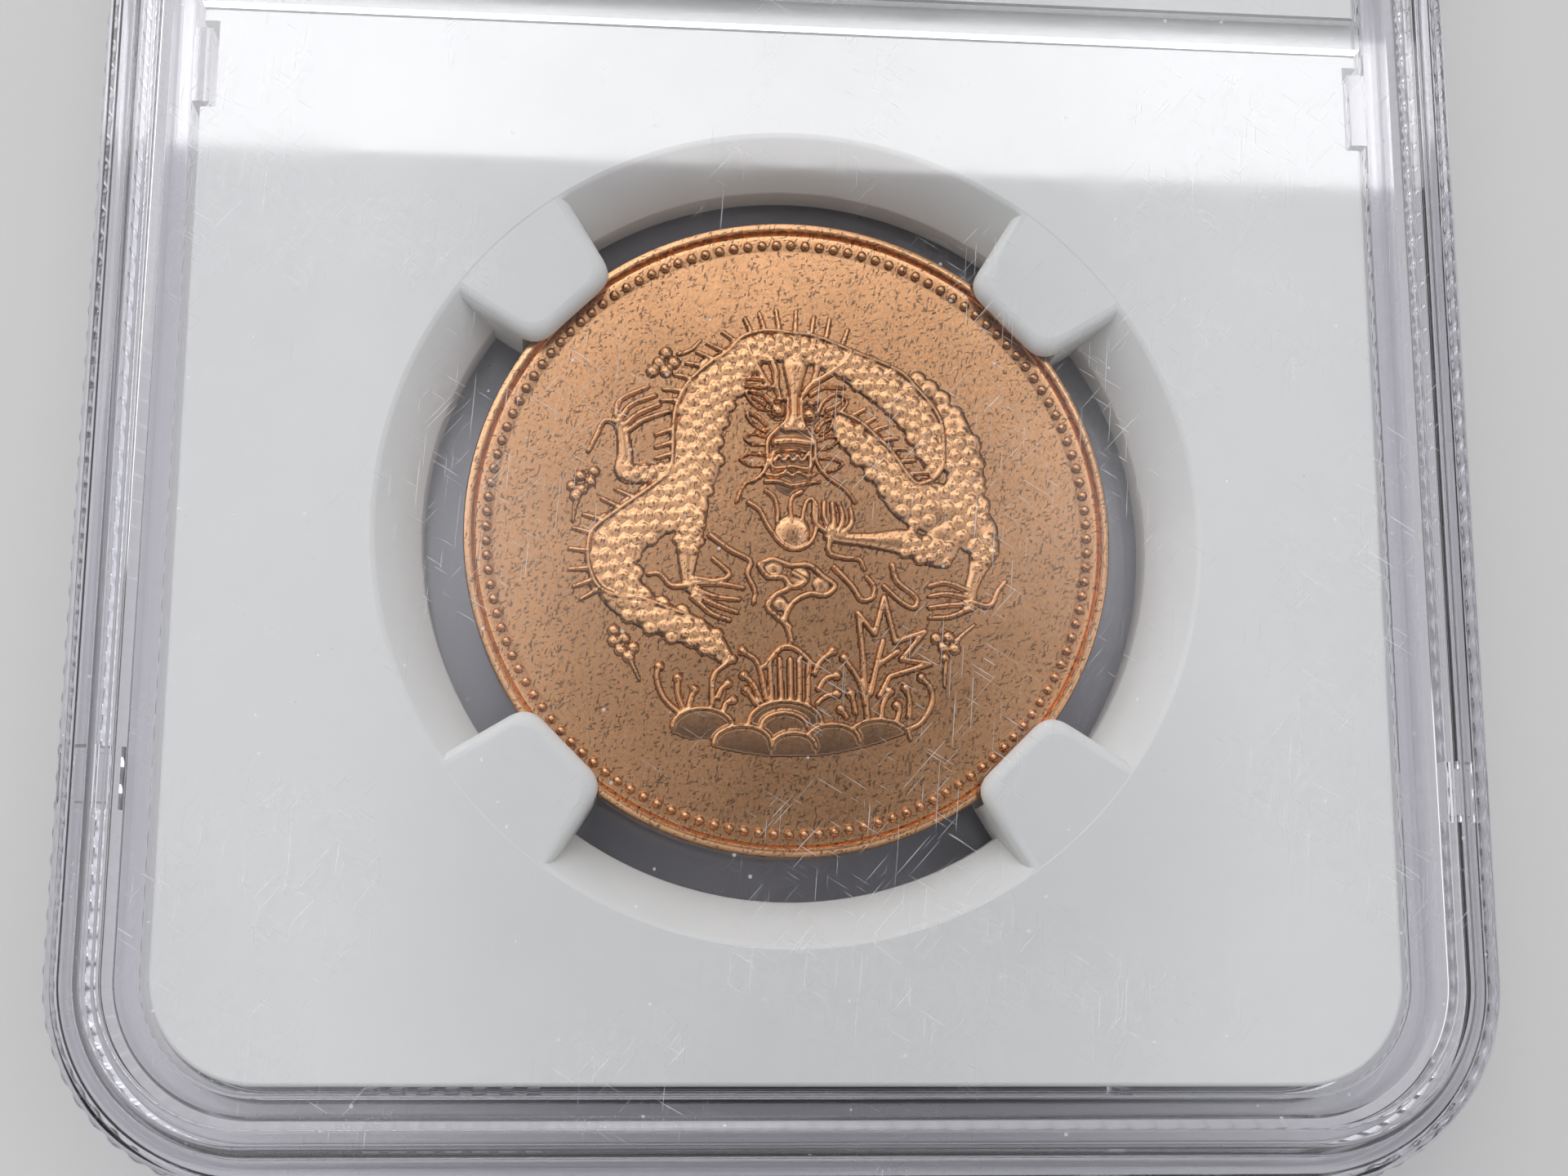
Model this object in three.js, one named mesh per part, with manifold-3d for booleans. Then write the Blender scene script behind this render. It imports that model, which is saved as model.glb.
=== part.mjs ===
// Coin capsule: a clear slab in two half shells that holds one coin in a white pronged core,
// with a label chamber above the coin.
//
// Millimetres. X is the slab's width, Y runs from the coin end to the label end and Z is up
// through the front window. The origin is the middle of the plane that the slab rests on.

import * as THREE from 'three';
import { mergeVertices } from 'three/addons/utils/BufferGeometryUtils.js';
import Module from 'manifold-3d';

const wasm = await Module();
wasm.setup();

// ---- Slab ----
const SLAB_WIDTH = 60.0;
const SLAB_LENGTH = 84.5;
const SLAB_DEPTH = 8.0;
const CORNER_RADIUS = 8.6;
const CORNER_STEPS = 10;
const FIT_GAP = 0.3;

// ---- Half shells ----
const SEAM_Z = 4.0;
const WINDOW_THICKNESS = 1.1;
const REED_PITCH = 1.1;
const REED_DEPTH = 0.15;
const REED_HEIGHT = 1.75;
const WALL_INSET = 0.3;
const SHOULDER_HEIGHT = 0.8;
const SHOULDER_ROUNDING = [[0.42, 0.6], [0.7, 0.15]];
const RIDGE = { foot: 1.0, step: 1.55, stepHeight: 0.25, outer: 1.9, inner: 2.62, window: 3.12 };
const FOOT = { outer: 3.42, outerFlat: 3.62, innerFlat: 4.3, inner: 4.5 };
const SKIRT_INSET = 1.7;
const CHAMBER_INSET = 3.85;

// ---- White core ----
const CORE_INSET = CHAMBER_INSET + 0.35;
const CORE_THICKNESS = 3.6;
const COIN_Y = -14.75;
const FUNNEL_RADIUS = 17.7;
const HOLE_RADIUS = 15.8;
const FUNNEL_DEPTH = 2.05;
const HOLE_STEPS = 80;
const PRONG = { tipRadius: 13.3, tipWidth: 4.6, tipCorner: 0.9, rootRadius: 20.0, splay: 13.5 };

// ---- Coin ----
const COIN_DIAMETER = 28.0;
const COIN_THICKNESS = 1.7;
const COIN_RIM_WIDTH = 0.6;
const COIN_RIM_HEIGHT = 0.3;
const COIN_EDGE_BREAK = 0.08;

// ---- Divider, locating lugs and keys ----
const DIVIDER = { y: 8.7, width: 1.4, height: 0.8 };
const LUG = { y: 5.25, length: 3.4, depth: 0.75 };
const KEY = { y: -25.75, length: 2.0, depth: 0.85, height: 1.1 };

// ---- Labels ----
const LABEL_WIDTH = 46.0;
const LABEL_LENGTH = 24.6;
const LABEL_Y = 23.4;
const LABEL_THICKNESS = 0.35;
const LABEL_CORNER = 1.2;
const LABEL_POCKET_DEPTH = 0.7;

// ---- Levels worked out from the sizes above ----
const MID_Z = SLAB_DEPTH / 2;
const FRONT_WINDOW_TOP = SLAB_DEPTH - SHOULDER_HEIGHT;
const FRONT_WINDOW_UNDER = FRONT_WINDOW_TOP - WINDOW_THICKNESS;
const REAR_WINDOW_UNDER = SHOULDER_HEIGHT;
const REAR_WINDOW_TOP = REAR_WINDOW_UNDER + WINDOW_THICKNESS;
const CORE_TOP = MID_Z + CORE_THICKNESS / 2;
const CORE_BOTTOM = MID_Z - CORE_THICKNESS / 2;
const TONGUE_TOP = FRONT_WINDOW_UNDER - FIT_GAP;
const TONGUE_INSET = SKIRT_INSET + FIT_GAP;
const FRONT_SEAM = SEAM_Z + FIT_GAP / 2;
const REAR_SEAM = SEAM_Z - FIT_GAP / 2;
const FRONT_REED_TOP = FRONT_SEAM + REED_HEIGHT;
const REAR_REED_BOTTOM = REAR_SEAM - REED_HEIGHT;
const CHAMBER_HALF_WIDTH = SLAB_WIDTH / 2 - CHAMBER_INSET;
const CORE_HALF_WIDTH = SLAB_WIDTH / 2 - CORE_INSET;
const STRAIGHTS = [SLAB_LENGTH - 2 * CORNER_RADIUS, SLAB_WIDTH - 2 * CORNER_RADIUS];
const QUARTER_TURN = CORNER_RADIUS * Math.PI / 2;
const OVERLAP = 0.5;

// ---- Solids ----

/** A closed three.js geometry as a solid that can be joined and cut. */
function solid(geometry) {
  const bare = geometry.clone();
  bare.deleteAttribute('normal');
  bare.deleteAttribute('uv');
  const merged = mergeVertices(bare, 1e-5);
  return new wasm.Manifold(new wasm.Mesh({
    numProp: 3,
    vertProperties: new Float32Array(merged.attributes.position.array),
    triVerts: new Uint32Array(merged.index.array),
  }));
}

/** One named mesh of a solid, in its own material. */
function piece(name, body, material) {
  const mesh = body.getMesh();
  const geometry = new THREE.BufferGeometry();
  geometry.setAttribute('position', new THREE.BufferAttribute(mesh.vertProperties, 3));
  geometry.setIndex(new THREE.BufferAttribute(mesh.triVerts, 1));
  geometry.computeVertexNormals();
  const part = new THREE.Mesh(geometry, material);
  part.name = name;
  return part;
}

/** A box between two heights, centred at x, y. */
function block(width, length, x, y, bottom, top) {
  const box = new THREE.BoxGeometry(width, length, top - bottom);
  return solid(box.translate(x, y, (bottom + top) / 2));
}

/** A flat outline, with any holes, raised between two heights. */
function raised(outline, bottom, top, holes = []) {
  const shape = new THREE.Shape(outline);
  shape.holes = holes.map((hole) => new THREE.Path(hole));
  const geometry = new THREE.ExtrudeGeometry(shape, { depth: top - bottom, bevelEnabled: false });
  return solid(geometry.translate(0, 0, bottom));
}

/** A solid of revolution about Z from [radius, z] points that start and end on the axis. */
function turned(profile, steps, y) {
  const points = profile.map(([radius, z]) => new THREE.Vector2(radius, z));
  const geometry = new THREE.LatheGeometry(points, steps);
  return solid(geometry.rotateX(Math.PI / 2).translate(0, y, 0));
}

// ---- Outlines that follow the slab's edge ----

/** The slab's outline moved inwards, anticlockwise from the lower end of the right side. */
function outline(inset) {
  const radius = CORNER_RADIUS - inset;
  const x = SLAB_WIDTH / 2 - CORNER_RADIUS;
  const y = SLAB_LENGTH / 2 - CORNER_RADIUS;
  const points = [];
  [[x, y], [-x, y], [-x, -y], [x, -y]].forEach(([cx, cy], corner) => {
    for (let step = 0; step <= CORNER_STEPS; step += 1) {
      const angle = (corner + step / CORNER_STEPS) * Math.PI / 2;
      points.push(new THREE.Vector2(cx + radius * Math.cos(angle), cy + radius * Math.sin(angle)));
    }
  });
  return points;
}

/** The point this far along the slab's edge, moved inwards, from the lower end of the right side. */
function edgePoint(distance, inset) {
  let side = 0;
  let along = distance;
  while (along >= STRAIGHTS[side % 2] + QUARTER_TURN) {
    along -= STRAIGHTS[side % 2] + QUARTER_TURN;
    side += 1;
  }
  const straight = STRAIGHTS[side % 2];
  const turn = Math.max(along - straight, 0) / CORNER_RADIUS;
  const radius = CORNER_RADIUS - inset;
  const point = new THREE.Vector2(STRAIGHTS[(side + 1) % 2] / 2, Math.min(along, straight) - straight / 2);
  point.add(new THREE.Vector2(radius * Math.cos(turn), radius * Math.sin(turn)));
  return point.rotateAround(new THREE.Vector2(), side * Math.PI / 2);
}

/** A closed solid through rings of points, either capped at both ends or closed on itself. */
function skin(rings, capped) {
  const count = rings[0].length;
  const spans = capped ? rings.length - 1 : rings.length;
  const triangles = [];
  for (let ring = 0; ring < spans; ring += 1) {
    const here = ring * count;
    const there = ((ring + 1) % rings.length) * count;
    for (let i = 0; i < count; i += 1) {
      const j = (i + 1) % count;
      triangles.push(here + i, there + i, here + j, here + j, there + i, there + j);
    }
  }
  const last = (rings.length - 1) * count;
  for (let i = 1; capped && i + 1 < count; i += 1) {
    triangles.push(0, i, i + 1, last, last + i + 1, last + i);
  }
  const geometry = new THREE.BufferGeometry();
  const positions = rings.flat().flatMap((point) => point.toArray());
  geometry.setAttribute('position', new THREE.Float32BufferAttribute(positions, 3));
  geometry.setIndex(triangles);
  return solid(geometry);
}

/** Flat points lifted to one height. */
function lifted(points, z) {
  return points.map((point) => new THREE.Vector3(point.x, point.y, z));
}

/** A body swept round the slab's edge from [inset, z] points, closed by a flat sheet at each end. */
function rimBody(profile) {
  return skin(profile.map(([inset, z]) => lifted(outline(inset), z)), true);
}

/** The reeded band round one half shell, with a crest and a root in turn along its whole length. */
function reededBand(bottom, top) {
  const length = 2 * (STRAIGHTS[0] + STRAIGHTS[1]) + 4 * QUARTER_TURN;
  const count = 2 * Math.round(length / REED_PITCH);
  const outer = [];
  const inner = [];
  for (let i = 0; i < count; i += 1) {
    const distance = length * (i + 0.5) / count;
    outer.push(edgePoint(distance, i % 2 === 0 ? 0 : REED_DEPTH));
    inner.push(edgePoint(distance, WALL_INSET + REED_DEPTH));
  }
  return skin([lifted(inner, top), lifted(outer, top), lifted(outer, bottom), lifted(inner, bottom)], false);
}

// ---- Front half shell ----

/** Window, stacking ridge, shoulder and reeded skirt, with the divider rib under the window. */
function frontShell() {
  const stepZ = FRONT_WINDOW_TOP + RIDGE.stepHeight;
  const body = rimBody([
    [RIDGE.window, FRONT_WINDOW_TOP],
    [RIDGE.inner, SLAB_DEPTH],
    [RIDGE.outer, SLAB_DEPTH],
    [RIDGE.step, stepZ],
    [RIDGE.foot, FRONT_WINDOW_TOP],
    ...SHOULDER_ROUNDING.map(([inset, drop]) => [inset, FRONT_WINDOW_TOP - drop]).reverse(),
    [WALL_INSET, FRONT_REED_TOP],
    [WALL_INSET, FRONT_SEAM],
    [SKIRT_INSET, FRONT_SEAM],
    [SKIRT_INSET, FRONT_WINDOW_UNDER],
  ]);
  const ribBottom = FRONT_WINDOW_UNDER - DIVIDER.height;
  const ribWidth = 2 * (CHAMBER_HALF_WIDTH - FIT_GAP);
  const rib = block(ribWidth, DIVIDER.width, 0, DIVIDER.y, ribBottom, FRONT_WINDOW_UNDER + OVERLAP);
  const keyway = sideBlocks(
    KEY.length + 2 * FIT_GAP,
    SKIRT_INSET - KEY.depth,
    SKIRT_INSET + OVERLAP,
    KEY.y,
    FRONT_SEAM - OVERLAP,
    REAR_SEAM + KEY.height + FIT_GAP,
  );
  return body.add(reededBand(FRONT_SEAM, FRONT_REED_TOP)).add(rib).subtract(keyway);
}

/** The same block at both long sides, from one inset to another. */
function sideBlocks(length, outerInset, innerInset, y, bottom, top) {
  const width = innerInset - outerInset;
  const x = SLAB_WIDTH / 2 - (outerInset + innerInset) / 2;
  const right = block(width, length, x, y, bottom, top);
  const left = block(width, length, -x, y, bottom, top);
  return right.add(left);
}

// ---- Rear half shell ----

/** Window, foot ridge, reeded skirt and the tongue that stands inside the front skirt. */
function rearShell() {
  const body = rimBody([
    [CHAMBER_INSET, REAR_WINDOW_TOP],
    [CHAMBER_INSET, TONGUE_TOP],
    [TONGUE_INSET, TONGUE_TOP],
    [TONGUE_INSET, REAR_SEAM],
    [WALL_INSET, REAR_SEAM],
    [WALL_INSET, REAR_REED_BOTTOM],
    ...SHOULDER_ROUNDING.map(([inset, rise]) => [inset, REAR_WINDOW_UNDER + rise]),
    [RIDGE.foot, REAR_WINDOW_UNDER],
    [FOOT.outer, REAR_WINDOW_UNDER],
    [FOOT.outerFlat, 0],
    [FOOT.innerFlat, 0],
    [FOOT.inner, REAR_WINDOW_UNDER],
  ]);
  const ribTop = REAR_WINDOW_TOP + DIVIDER.height;
  const ribWidth = 2 * (CHAMBER_HALF_WIDTH + OVERLAP);
  const rib = block(ribWidth, DIVIDER.width, 0, DIVIDER.y, REAR_WINDOW_TOP - OVERLAP, ribTop);
  const lugs = sideBlocks(
    LUG.length,
    CHAMBER_INSET - OVERLAP,
    CHAMBER_INSET + LUG.depth,
    LUG.y,
    REAR_WINDOW_TOP - OVERLAP,
    TONGUE_TOP,
  );
  const keys = sideBlocks(
    KEY.length,
    TONGUE_INSET - KEY.depth,
    TONGUE_INSET + OVERLAP,
    KEY.y,
    REAR_SEAM - OVERLAP,
    REAR_SEAM + KEY.height,
  );
  return body.add(reededBand(REAR_REED_BOTTOM, REAR_SEAM)).add(rib).add(lugs).add(keys);
}

// ---- White core ----

/** One prong's outline on the +X side of the hole's centre, with rounded tip corners. */
function prongOutline() {
  const { tipRadius, tipWidth, tipCorner, rootRadius, splay } = PRONG;
  const slope = Math.tan(THREE.MathUtils.degToRad(splay));
  const half = tipWidth / 2;
  const rootHalf = half + (rootRadius - tipRadius) * slope;
  const shape = new THREE.Shape();
  shape.moveTo(rootRadius, -rootHalf);
  shape.lineTo(rootRadius, rootHalf);
  shape.lineTo(tipRadius + tipCorner, half + tipCorner * slope);
  shape.quadraticCurveTo(tipRadius, half, tipRadius, half - tipCorner);
  shape.lineTo(tipRadius, tipCorner - half);
  shape.quadraticCurveTo(tipRadius, -half, tipRadius + tipCorner, -half - tipCorner * slope);
  return shape.extractPoints(5).shape.slice(0, -1);
}

/** Four prongs on the diagonals, grooved for the coin's edge. */
function prongs() {
  const points = prongOutline();
  let all = null;
  for (let quarter = 0; quarter < 4; quarter += 1) {
    const angle = (quarter + 0.5) * Math.PI / 2;
    const turnedPoints = points.map((p) => {
      const spun = new THREE.Vector2(p.x, p.y).rotateAround(new THREE.Vector2(), angle);
      return spun.add(new THREE.Vector2(0, COIN_Y));
    });
    const prong = raised(turnedPoints, CORE_BOTTOM, CORE_TOP);
    all = all ? all.add(prong) : prong;
  }
  const grooveRadius = COIN_DIAMETER / 2 + FIT_GAP;
  const grooveHalf = COIN_THICKNESS / 2 + FIT_GAP;
  const groove = turned([
    [0, MID_Z - grooveHalf],
    [grooveRadius, MID_Z - grooveHalf],
    [grooveRadius, MID_Z + grooveHalf],
    [0, MID_Z + grooveHalf],
  ], HOLE_STEPS, COIN_Y);
  return all.subtract(groove);
}

/** The core's plate with the coin hole, prongs, divider channels, lug notches and label pockets. */
function coinInsert() {
  const plate = raised(outline(CORE_INSET), CORE_BOTTOM, CORE_TOP);
  const hole = turned([
    [0, CORE_BOTTOM - OVERLAP],
    [HOLE_RADIUS, CORE_BOTTOM - OVERLAP],
    [HOLE_RADIUS, CORE_TOP - FUNNEL_DEPTH],
    [FUNNEL_RADIUS, CORE_TOP],
    [FUNNEL_RADIUS, CORE_TOP + OVERLAP],
    [0, CORE_TOP + OVERLAP],
  ], HOLE_STEPS, COIN_Y);
  const channelDepth = DIVIDER.height;
  const channelWidth = DIVIDER.width + 2 * FIT_GAP;
  const full = SLAB_WIDTH;
  const frontChannel = block(
    full, channelWidth, 0, DIVIDER.y, CORE_TOP - channelDepth, CORE_TOP + OVERLAP,
  );
  const rearChannel = block(
    full, channelWidth, 0, DIVIDER.y, CORE_BOTTOM - OVERLAP, CORE_BOTTOM + channelDepth,
  );
  const notches = sideBlocks(
    LUG.length + 2 * FIT_GAP,
    0,
    CHAMBER_INSET + LUG.depth + FIT_GAP,
    LUG.y,
    CORE_BOTTOM - OVERLAP,
    CORE_TOP + OVERLAP,
  );
  const pocket = (bottom, top) => raised(labelOutline(FIT_GAP), bottom, top);
  return plate
    .subtract(hole)
    .add(prongs())
    .subtract(frontChannel)
    .subtract(rearChannel)
    .subtract(notches)
    .subtract(pocket(CORE_TOP - LABEL_POCKET_DEPTH, CORE_TOP + OVERLAP))
    .subtract(pocket(CORE_BOTTOM - OVERLAP, CORE_BOTTOM + LABEL_POCKET_DEPTH));
}

// ---- Labels ----

/** The label's outline with rounded corners, grown by a margin. */
function labelOutline(margin) {
  const x = LABEL_WIDTH / 2 - LABEL_CORNER;
  const y = LABEL_LENGTH / 2 - LABEL_CORNER;
  const radius = LABEL_CORNER + margin;
  const shape = new THREE.Shape();
  [[x, y], [-x, y], [-x, -y], [x, -y]].forEach(([cx, cy], corner) => {
    const start = corner * Math.PI / 2;
    shape.absarc(cx, LABEL_Y + cy, radius, start, start + Math.PI / 2, false);
  });
  return shape.extractPoints(4).shape;
}

/** One label card, lying from this height. */
function label(bottom) {
  return raised(labelOutline(0), bottom, bottom + LABEL_THICKNESS);
}

// ---- Coin ----

/** A struck disc with a raised rim on both faces and a lightly broken edge. */
function coin() {
  const radius = COIN_DIAMETER / 2;
  const half = COIN_THICKNESS / 2;
  const field = half - COIN_RIM_HEIGHT;
  const face = [
    [radius - COIN_RIM_WIDTH - COIN_RIM_HEIGHT / 2, field],
    [radius - COIN_RIM_WIDTH, half],
    [radius - COIN_EDGE_BREAK, half],
    [radius, half - COIN_EDGE_BREAK],
  ];
  const rear = face.map(([r, z]) => [r, MID_Z - z]);
  const front = face.map(([r, z]) => [r, MID_Z + z]).reverse();
  const profile = [[0, MID_Z - field], ...rear, ...front, [0, MID_Z + field]];
  return turned(profile, HOLE_STEPS, COIN_Y);
}

// ---- Materials ----

const clearPlastic = new THREE.MeshStandardMaterial({
  color: 0xe4e6ea,
  roughness: 0.08,
  metalness: 0.0,
  transparent: true,
  opacity: 0.3,
});
const whitePlastic = new THREE.MeshStandardMaterial({ color: 0xc9cbc9, roughness: 0.55, metalness: 0.0 });
const copper = new THREE.MeshStandardMaterial({ color: 0xc8946c, roughness: 0.38, metalness: 1.0 });
const cardStock = new THREE.MeshStandardMaterial({ color: 0xeeece4, roughness: 0.7, metalness: 0.0 });
const foilStock = new THREE.MeshStandardMaterial({ color: 0xb9bcc2, roughness: 0.35, metalness: 0.6 });

// ---- Assembly ----

const frontLabelZ = CORE_TOP - LABEL_POCKET_DEPTH + FIT_GAP;
const rearLabelZ = CORE_BOTTOM + LABEL_POCKET_DEPTH - FIT_GAP - LABEL_THICKNESS;

const capsule = new THREE.Group();
capsule.add(
  piece('rear_shell', rearShell(), clearPlastic),
  piece('front_shell', frontShell(), clearPlastic),
  piece('coin_insert', coinInsert(), whitePlastic),
  piece('coin', coin(), copper),
  piece('front_label', label(frontLabelZ), cardStock),
  piece('rear_label', label(rearLabelZ), foilStock),
);

export default capsule;
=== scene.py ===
"""Coin capsule: a clear two-part slab whose white core holds one struck copper coin.

Metres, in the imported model's frame: X is the slab's width, Y runs from the coin end to the
label end, and Z is up through the front window.
"""

import copy
import math

import bmesh
import bpy
import numpy as np
from bpy.props import FloatProperty, FloatVectorProperty, IntProperty, PointerProperty
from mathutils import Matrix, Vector


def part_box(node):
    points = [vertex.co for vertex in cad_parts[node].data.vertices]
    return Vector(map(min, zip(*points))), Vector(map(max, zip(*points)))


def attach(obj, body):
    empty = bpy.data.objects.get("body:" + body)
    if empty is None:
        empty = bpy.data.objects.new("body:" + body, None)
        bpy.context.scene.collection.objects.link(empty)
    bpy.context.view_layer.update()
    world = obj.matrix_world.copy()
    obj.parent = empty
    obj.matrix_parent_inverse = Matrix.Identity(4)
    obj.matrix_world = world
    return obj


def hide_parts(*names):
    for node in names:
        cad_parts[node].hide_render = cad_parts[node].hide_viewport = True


bl_info = {
    "name": "Coin capsule",
    "version": (1, 0, 0),
    "blender": (4, 5, 0),
    "location": "3D View > Sidebar > Capsule",
    "description": "Builds a clear coin slab around its packed frame",
    "category": "Add Mesh",
}

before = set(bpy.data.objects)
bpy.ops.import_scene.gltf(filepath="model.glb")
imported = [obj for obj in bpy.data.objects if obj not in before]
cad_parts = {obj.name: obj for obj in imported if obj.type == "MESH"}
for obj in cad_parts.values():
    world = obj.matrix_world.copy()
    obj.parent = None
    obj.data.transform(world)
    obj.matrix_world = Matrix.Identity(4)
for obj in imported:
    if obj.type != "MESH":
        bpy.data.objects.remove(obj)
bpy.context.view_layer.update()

MM = 0.001
SLAB_LOW, SLAB_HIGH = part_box("rear_shell")
LID_LOW, LID_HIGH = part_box("front_shell")
CORE_LOW, CORE_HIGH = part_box("coin_insert")
COIN_LOW, COIN_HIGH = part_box("coin")
FRONT_CARD_LOW, FRONT_CARD_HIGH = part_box("front_label")
REAR_CARD_LOW, REAR_CARD_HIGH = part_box("rear_label")

SLAB_HALF_X = LID_HIGH.x
SLAB_HALF_Y = LID_HIGH.y
SLAB_TOP = LID_HIGH.z
MID_Z = SLAB_TOP / 2
COIN_CENTRE = (COIN_LOW + COIN_HIGH) / 2
COIN_RADIUS = (COIN_HIGH.x - COIN_LOW.x) / 2
CARD_CENTRE = (FRONT_CARD_LOW + FRONT_CARD_HIGH) / 2

# Where the divider rib, the core's locating lugs and the halves' keys stand along the slab.
DIVIDER_Y = 8.7 * MM
LUG_Y = 5.25 * MM
KEY_Y = -25.75 * MM
RIB_HALF = 0.7 * MM
RIB_DEPTH = 0.8 * MM

# How far a joined or cutting solid reaches past the face it works on.
SINK = 0.4 * MM


# ---- Settings ----

class ShellSettings(bpy.types.PropertyGroup):
    """Sizes and colour of the two clear half shells."""

    corner_radius: FloatProperty(
        name="Corner radius", description="Outer corner of the slab",
        default=8.6 * MM, unit="LENGTH")
    window_thickness: FloatProperty(
        name="Window thickness", description="Clear sheet over the chamber",
        default=1.1 * MM, unit="LENGTH")
    shoulder_height: FloatProperty(
        name="Shoulder height", description="Ridge above the window, and foot below the rear one",
        default=0.8 * MM, unit="LENGTH")
    shoulder_rounding: FloatProperty(
        name="Shoulder rounding", description="Round edge between window and side wall",
        default=0.62 * MM, unit="LENGTH")
    reed_pitch: FloatProperty(
        name="Reed pitch", description="Spacing of the grip reeds", default=1.1 * MM, unit="LENGTH")
    reed_depth: FloatProperty(
        name="Reed depth", description="Depth of the valleys between reeds",
        default=0.15 * MM, unit="LENGTH")
    reed_height: FloatProperty(
        name="Reed height", description="Height of each row of reeds",
        default=1.88 * MM, unit="LENGTH")
    seam_gap: FloatProperty(
        name="Seam gap", description="Line between the two halves", default=0.04 * MM, unit="LENGTH")
    tint: FloatVectorProperty(
        name="Tint", description="Colour of the clear plastic", subtype="COLOR",
        default=(0.915, 0.91, 0.94))


class CoreSettings(bpy.types.PropertyGroup):
    """Sizes and colour of the white core."""

    corner_radius: FloatProperty(
        name="Corner radius", description="Corner of the core's plate",
        default=4.4 * MM, unit="LENGTH")
    funnel_radius: FloatProperty(
        name="Funnel radius", description="Slope round the coin hole, at the face",
        default=17.7 * MM, unit="LENGTH")
    hole_radius: FloatProperty(
        name="Hole radius", description="Hole that the coin stands in",
        default=15.8 * MM, unit="LENGTH")
    prong_reach: FloatProperty(
        name="Prong reach", description="Distance of a prong's tip from the coin's centre",
        default=13.3 * MM, unit="LENGTH")
    prong_width: FloatProperty(
        name="Prong width", description="Width of a prong's tip", default=4.6 * MM, unit="LENGTH")
    prong_rounding: FloatProperty(
        name="Prong rounding", description="Soft edge of a prong", default=0.55 * MM, unit="LENGTH")
    colour: FloatVectorProperty(
        name="Colour", description="White plastic", subtype="COLOR", default=(0.655, 0.665, 0.63))


class CoinSettings(bpy.types.PropertyGroup):
    """Sizes and colour of the struck coin."""

    rim_width: FloatProperty(
        name="Rim width", description="Flat raised rim", default=0.4 * MM, unit="LENGTH")
    rim_height: FloatProperty(
        name="Rim height", description="Rim above the field", default=0.3 * MM, unit="LENGTH")
    beads: IntProperty(name="Beads", description="Beads inside the rim", default=128, min=24)
    bead_radius: FloatProperty(
        name="Bead radius", description="Radius of one bead", default=0.235 * MM, unit="LENGTH")
    bead_height: FloatProperty(
        name="Bead height", description="Height of one bead above its middle",
        default=0.26 * MM, unit="LENGTH")
    bead_circle: FloatProperty(
        name="Bead circle", description="Radius of the ring of beads",
        default=13.02 * MM, unit="LENGTH")
    relief_height: FloatProperty(
        name="Relief height", description="Highest point of the relief above the field",
        default=0.27 * MM, unit="LENGTH")
    turn: FloatProperty(
        name="Turn", description="How far the coin is turned in its prongs",
        default=math.radians(1.0), subtype="ANGLE")
    colour: FloatVectorProperty(
        name="Colour", description="Bright copper", subtype="COLOR", default=(0.81, 0.45, 0.22))
    # Tone darkens the flecks and mottle, and is also painted as shade in the coin's low places.
    tone: FloatVectorProperty(
        name="Tone", description="Darker, toned copper", subtype="COLOR", default=(0.13, 0.082, 0.056))


class CardSettings(bpy.types.PropertyGroup):
    """Colours of the two label cards."""

    corner_radius: FloatProperty(
        name="Corner radius", description="Corner of a card", default=1.2 * MM, unit="LENGTH")
    paper: FloatVectorProperty(
        name="Paper", description="Card stock", subtype="COLOR", default=(0.82, 0.82, 0.80))
    ink: FloatVectorProperty(
        name="Ink", description="Printed border", subtype="COLOR", default=(0.10, 0.20, 0.34))


class StageSettings(bpy.types.PropertyGroup):
    """Floor, light and camera."""

    lens: FloatProperty(name="Lens", description="Focal length in millimetres", default=48.8)
    floor_colour: FloatVectorProperty(
        name="Floor", description="Plain pale floor", subtype="COLOR", default=(0.70, 0.69, 0.68))
    key: FloatProperty(
        name="Key light", description="Power of the main softbox", default=4.3, unit="POWER")
    fill: FloatProperty(
        name="Fill light", description="Power of the weaker softbox", default=0.5, unit="POWER")
    strip: FloatProperty(
        name="Strip light", description="Power of the strip softbox", default=0.40, unit="POWER")


class CapsuleSettings(bpy.types.PropertyGroup):
    """All of the coin capsule's settings."""

    shell: PointerProperty(type=ShellSettings)
    core: PointerProperty(type=CoreSettings)
    coin: PointerProperty(type=CoinSettings)
    card: PointerProperty(type=CardSettings)
    stage: PointerProperty(type=StageSettings)


# ---- Mesh tools ----

def mesh_object(name, vertices, faces):
    """A new object from points and faces, its normals outwards."""
    mesh = bpy.data.meshes.new(name)
    mesh.from_pydata([tuple(v) for v in vertices], [], faces)
    work = bmesh.new()
    work.from_mesh(mesh)
    bmesh.ops.recalc_face_normals(work, faces=work.faces)
    work.to_mesh(mesh)
    work.free()
    piece = bpy.data.objects.new(name, mesh)
    bpy.context.scene.collection.objects.link(piece)
    return piece


def ring_solid(name, rings):
    """A closed solid through rings of points, with a flat cap at each end."""
    count = len(rings[0])
    faces = []
    for ring in range(len(rings) - 1):
        here = ring * count
        for i in range(count):
            j = (i + 1) % count
            faces.append((here + i, here + j, here + count + j, here + count + i))
    last = (len(rings) - 1) * count
    faces.append(tuple(range(count)))
    faces.append(tuple(last + i for i in reversed(range(count))))
    return mesh_object(name, np.concatenate(rings), faces)


def lathe_solid(name, profile, steps, centre):
    """A solid of revolution about a vertical axis, from [radius, z] points off the axis."""
    angles = np.arange(steps) * 2 * math.pi / steps
    rings = []
    for radius, z in profile:
        ring = np.stack([np.cos(angles) * radius, np.sin(angles) * radius, np.full(steps, z)], 1)
        rings.append(ring + np.array([centre[0], centre[1], 0]))
    return ring_solid(name, rings)


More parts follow.
